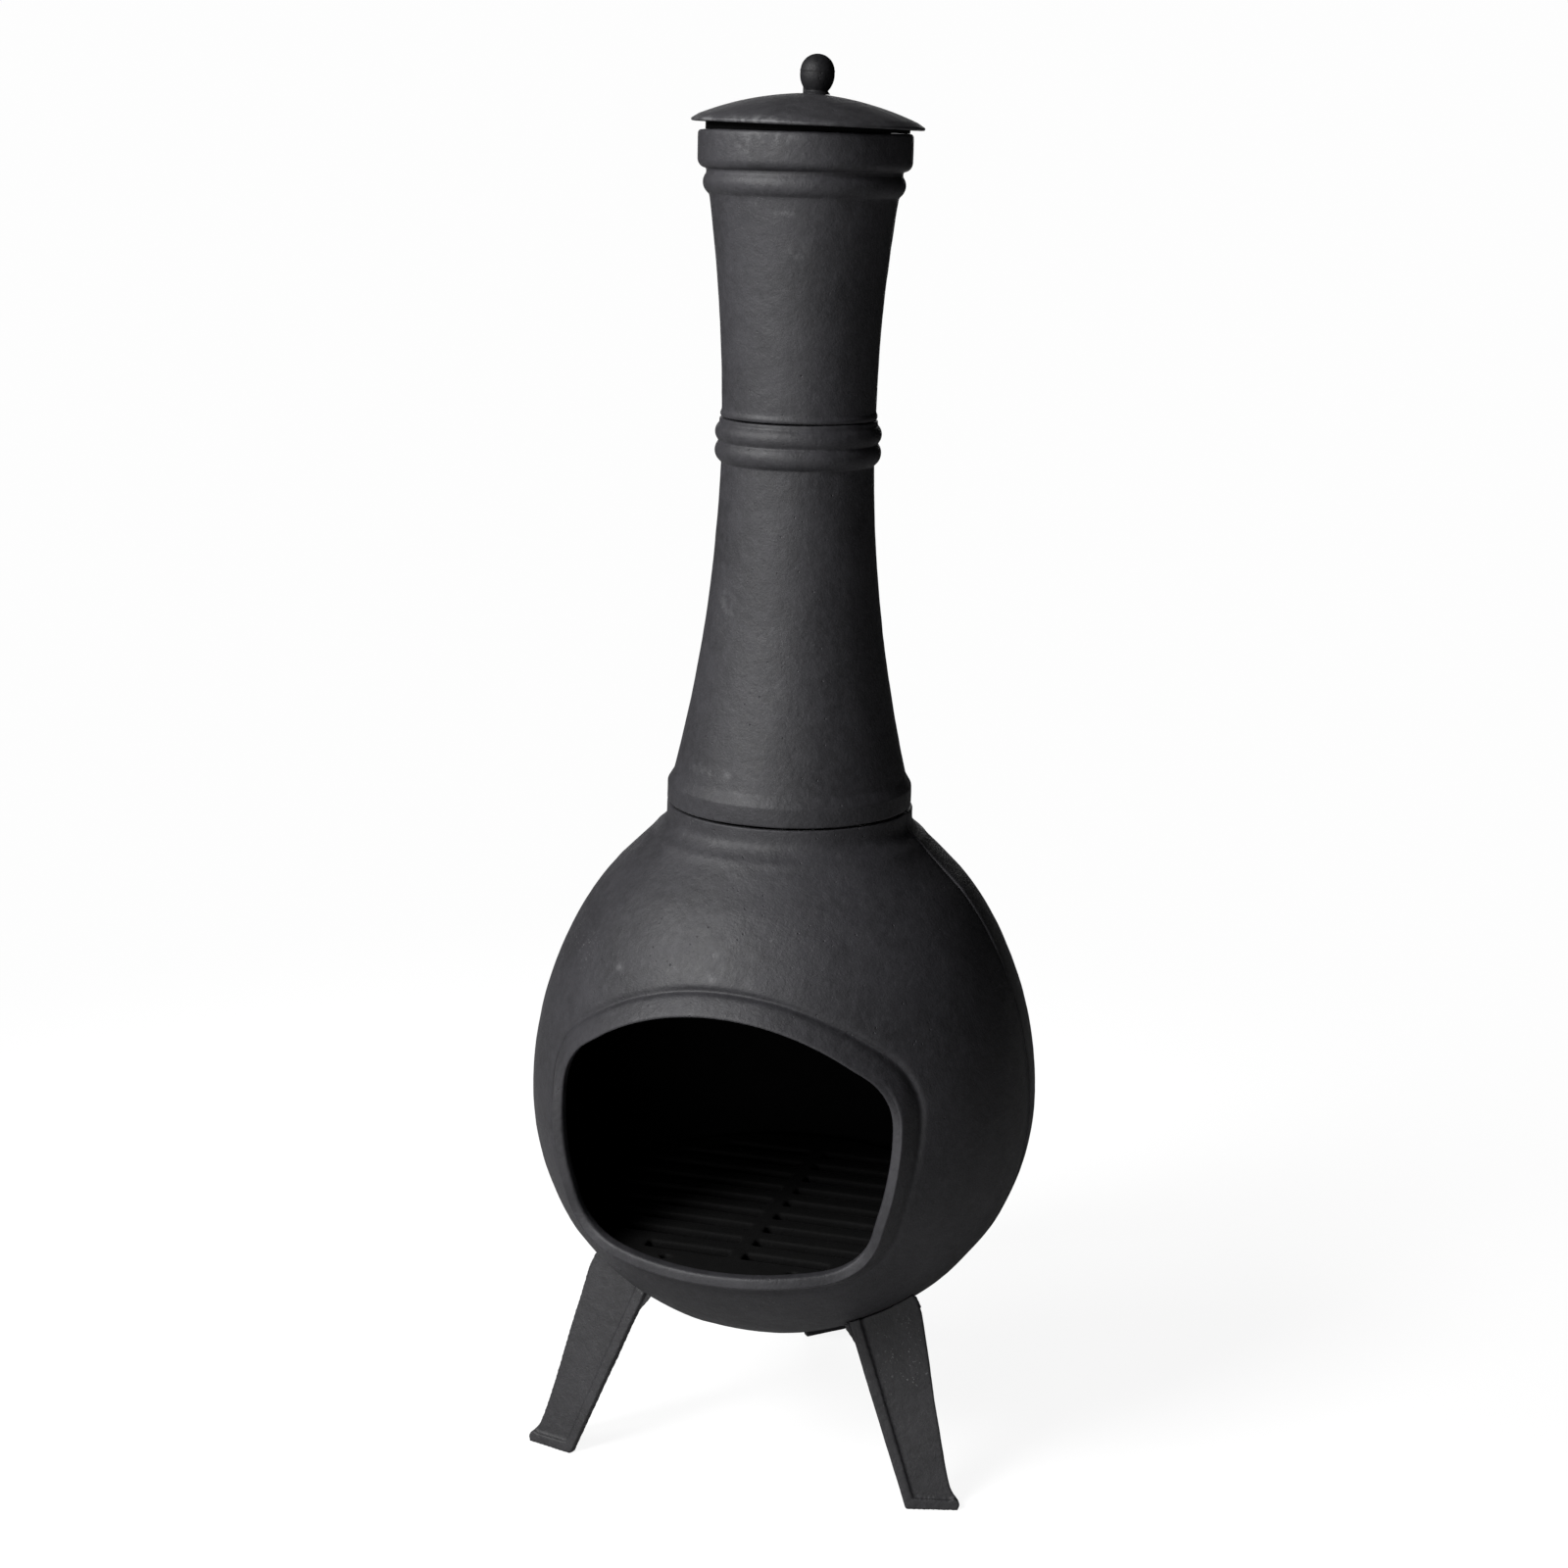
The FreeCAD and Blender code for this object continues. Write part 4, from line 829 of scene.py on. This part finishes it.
def vertex_masks(ob, edge=None, soot_and_painted_shade=None):
    me = ob.data
    n = len(me.vertices)
    co = np.zeros(n * 3)
    me.vertices.foreach_get("co", co)
    P = co.reshape(-1, 3) / MM
    for name, fn in (("edge", edge), ("soot_and_painted_shade", soot_and_painted_shade)):
        a = me.attributes.new(name, "FLOAT", "POINT")
        a.data.foreach_set("value", (fn(P) if fn else np.zeros(n)).astype(np.float32))


def bowl_wear(P):
    """Two small bright knocks above the mouth."""
    b = np.degrees(np.arctan2(P[:, 0], -P[:, 1]))
    out = np.zeros(len(P))
    for az, z, w, k in ((-3.6, 457.0, 1.1, 1.0), (-2.6, 443.0, 1.0, 1.0), (-31.0, 436.0, 1.0, 0.7), (12.0, 470.0, 1.2, 0.4)):
        out = np.maximum(out, k * np.exp(-((b - az) / w) ** 2 - ((P[:, 2] - z) / (w * 3.0)) ** 2))
    return out


# Marks the bowl's inner surface, which is painted near black: soot together with painted shade of the interior.
def inside_bowl(P):
    r = np.hypot(P[:, 0], P[:, 1])
    R = radius_at(np.full(len(P), -2.5), np.clip(P[:, 2], 111, 519))
    return np.clip((R - r) / 2.0, 0, 1) * np.where(P[:, 2] > 514.0, r < 92.5, True)


def draw_in(ob):
    """The bowl is not quite round: its far left flank sits about 2 mm inside the circle, fading out above the legs and at the neck."""
    me = ob.data
    co = np.zeros(len(me.vertices) * 3)
    me.vertices.foreach_get("co", co)
    P = co.reshape(-1, 3)
    a = P[:, 0] * math.cos(math.radians(16)) + P[:, 1] * math.sin(math.radians(16))
    z = P[:, 2] / MM
    w = np.clip((z - 196.0) / 30.0, 0, 1) * np.clip((528.0 - z) / 40.0, 0, 1)
    k = 0.0021 * w * np.clip(-a / 0.200, 0, 1.1) ** 3
    P[:, 0] += k * math.cos(math.radians(16))
    P[:, 1] += k * math.sin(math.radians(16)) * np.clip(np.abs(P[:, 1]) / 0.012, 0, 1)
    me.vertices.foreach_set("co", P.ravel())
    me.update()


draw_in(front)
draw_in(rear)
for ob, mat in ((front, mat_shell), (rear, mat_shell), (lower, mat_flue), (upper, mat_flue), (lid, mat_lid), (knob, mat_knob)):
    ob.data.materials.append(mat)
for o in bpy.context.scene.objects:
    if o.name.endswith("_cast"):
        o.data.materials.append(mat_grate if o.name.startswith("fire") else mat_leg)
# the bowl's inside is painted near black, soot together with painted shade; the knocks above the mouth are pale chips
vertex_masks(front, soot_and_painted_shade=inside_bowl, edge=bowl_wear)
vertex_masks(rear, soot_and_painted_shade=inside_bowl)
TOWARD = np.array([math.sin(math.radians(16)), -math.cos(math.radians(16))])
ACROSS = np.array([math.cos(math.radians(16)), math.sin(math.radians(16))])


def spots(P, marks):
    """Pale marks given as (bearing, height, bearing spread, height spread, strength); bearing 0 faces the front-right.
    They are rubbed paint; the lid's wide rim patch is also a painted highlight.
    """
    b = np.degrees(np.arctan2(P[:, :2] @ ACROSS, P[:, :2] @ TOWARD))
    out = np.zeros(len(P))
    for az, z, wa, wz, k in marks:
        out = np.maximum(out, k * np.exp(-((b - az) / wa) ** 2 - ((P[:, 2] - z) / wz) ** 2))
    return out


# Pale marks on the lid: a wide patch on the rim over the side the key light falls on, worn paint together with a
# painted highlight, and a small rubbed spot.
def lid_wear_and_painted_highlight(P):
    r = np.hypot(P[:, 0], P[:, 1])
    return np.clip(spots(P, [(-48.0, 1069.0, 42.0, 60.0, 1.0)]) * np.clip((r - 84.5) / 2.5, 0, 1) + spots(P, [(-20.0, 1072.0, 9.0, 3.0, 0.5)]), 0, 1)


# Painted shade: the ring under the lid's rim, which lies in shadow above the collar, is painted near black.
def lid_ring_painted_shade(P):
    r = np.hypot(P[:, 0], P[:, 1])
    return ((P[:, 2] < 1069.0) & (r < 80.5)).astype(float)


vertex_masks(lower, edge=lambda P: spots(P, [(-38.0, 578.0, 16.0, 2.2, 0.8), (-52.0, 700.0, 8.0, 16.0, 0.35), (-10.0, 640.0, 6.0, 20.0, 0.25)]))
vertex_masks(upper, edge=lambda P: spots(P, [(-20.0, 1057.5, 13.0, 3.6, 1.0), (-33.0, 1050.0, 6.0, 5.0, 0.6), (-12.0, 1004.0, 7.0, 2.2, 0.6), (-4.0, 975.0, 8.0, 6.0, 0.35)]))
# the lid's rim gets pale worn paint with a painted highlight on its lit side, and the ring under it gets painted shade
vertex_masks(lid, edge=lid_wear_and_painted_highlight, soot_and_painted_shade=lid_ring_painted_shade)
vertex_masks(knob)
for n, ob in frame["nodes"].items():
    if not ob.hide_render:
        ob.data.materials.clear()
        ob.data.materials.append(mat_knob if n == "lid_knob_screw" else mat_steel)

# ------------------------------------------------------------------ floor, light, camera
def floor():
    """A wide pale floor that fades into an even white surround a little way from the object."""
    me = bpy.data.meshes.new("floor")
    s = 30.0
    me.from_pydata([(-s, -s, 0), (s, -s, 0), (s, s, 0), (-s, s, 0)], [], [(0, 1, 2, 3)])
    ob = bpy.data.objects.new("floor", me)
    bpy.context.scene.collection.objects.link(ob)
    m = bpy.data.materials.new("floor_pale")
    m.use_nodes = True
    nt = m.node_tree
    nt.nodes.clear()
    out = node(nt, "ShaderNodeOutputMaterial")
    lit = node(nt, "ShaderNodeBsdfDiffuse")
    lit.inputs["Color"].default_value = (0.42, 0.42, 0.42, 1)
    seen = node(nt, "ShaderNodeBsdfDiffuse")
    seen.inputs["Color"].default_value = (0.20, 0.20, 0.20, 1)
    glow = node(nt, "ShaderNodeEmission")
    glow.inputs["Strength"].default_value = 0.895
    near = node(nt, "ShaderNodeAddShader")
    nt.links.new(seen.outputs[0], near.inputs[0])
    nt.links.new(glow.outputs[0], near.inputs[1])
    white = node(nt, "ShaderNodeEmission")
    white.inputs["Strength"].default_value = 0.985
    co = node(nt, "ShaderNodeTexCoord")
    ln = node(nt, "ShaderNodeVectorMath", operation="LENGTH")
    nt.links.new(co.outputs["Object"], ln.inputs[0])
    fade = node(nt, "ShaderNodeMapRange")
    fade.interpolation_type = "SMOOTHERSTEP"
    fade.inputs["From Min"].default_value = 0.45
    fade.inputs["From Max"].default_value = 1.7
    nt.links.new(ln.outputs["Value"], fade.inputs["Value"])
    view = node(nt, "ShaderNodeMixShader")
    nt.links.new(fade.outputs["Result"], view.inputs[0])
    nt.links.new(near.outputs[0], view.inputs[1])
    nt.links.new(white.outputs[0], view.inputs[2])
    lp = node(nt, "ShaderNodeLightPath")
    both = node(nt, "ShaderNodeMixShader")
    nt.links.new(lp.outputs["Is Camera Ray"], both.inputs[0])
    nt.links.new(lit.outputs[0], both.inputs[1])
    nt.links.new(view.outputs[0], both.inputs[2])
    nt.links.new(both.outputs[0], out.inputs["Surface"])
    me.materials.append(m)


floor()

ALPHA = math.radians(16.0)
DIST = 2.117
p, rho, yaw = math.radians(13.37), math.radians(1.40), math.radians(-0.12)
f = Vector((math.sin(yaw) * math.cos(p), math.cos(yaw) * math.cos(p), -math.sin(p)))
right = Vector((math.cos(yaw), -math.sin(yaw), 0))
up = right.cross(f)
x_ax = right * math.cos(rho) + up * math.sin(rho)
y_ax = -right * math.sin(rho) + up * math.cos(rho)
R = Matrix((x_ax, y_ax, -f)).transposed()
turn = Matrix.Rotation(ALPHA, 3, "Z")
R = turn @ R
loc = turn @ Vector((0, -DIST, 0)) + Vector((0, 0, 0.5 * DIST))
cam_data = bpy.data.cameras.new("camera")
cam_data.sensor_width = 36.0
cam_data.lens = 36.0 * 2778.0 / 1600.0
cam_data.clip_start, cam_data.clip_end = 0.05, 100
cam = bpy.data.objects.new("camera", cam_data)
cam.matrix_world = Matrix.Translation(loc) @ R.to_4x4()
bpy.context.scene.collection.objects.link(cam)
bpy.context.scene.camera = cam


def area(name, azimuth, elevation, distance, target, size, size_y, power, tint=(1, 1, 1)):
    """A soft panel. Azimuth is measured from the front viewing side, positive to the right."""
    a, e = math.radians(azimuth), math.radians(elevation)
    t = Vector(target)
    w = t + turn @ (Vector((math.sin(a) * math.cos(e), -math.cos(a) * math.cos(e), math.sin(e))) * distance)
    d = bpy.data.lights.new(name, "AREA")
    d.energy = power
    d.color = tint
    d.shape = "RECTANGLE"
    d.size = size
    d.size_y = size_y
    ob = bpy.data.objects.new(name, d)
    ob.matrix_world = Matrix.Translation(w) @ (w - t).to_track_quat("Z", "Y").to_matrix().to_4x4()
    ob.visible_camera = False
    bpy.context.scene.collection.objects.link(ob)
    return ob


area("key", -47, 32, 2.8, (0, 0, 0.62), 0.9, 1.2, 90)
area("side", -78, 31, 2.8, (0, 0, 0.62), 0.9, 1.2, 28)
area("low", -16, 0, 2.8, (0, 0, 0.55), 0.9, 0.9, 16)
area("back", 180, 12, 2.8, (0, 0, 0.55), 1.5, 1.3, 22)
world = bpy.data.worlds.new("world")
bpy.context.scene.world = world
world.use_nodes = True
wn = world.node_tree
bg = wn.nodes["Background"]
bg.inputs["Color"].default_value = (1, 1, 1, 1)
bg.inputs["Strength"].default_value = 0.008
seen_bg = node(wn, "ShaderNodeBackground")
seen_bg.inputs["Color"].default_value = (1, 1, 1, 1)
seen_bg.inputs["Strength"].default_value = 0.985
lpw = node(wn, "ShaderNodeLightPath")
mixw = node(wn, "ShaderNodeMixShader")
wn.links.new(lpw.outputs["Is Camera Ray"], mixw.inputs[0])
wn.links.new(bg.outputs[0], mixw.inputs[1])
wn.links.new(seen_bg.outputs[0], mixw.inputs[2])
wn.links.new(mixw.outputs[0], wn.nodes["World Output"].inputs["Surface"])
bpy.context.scene.view_settings.view_transform = "Standard"
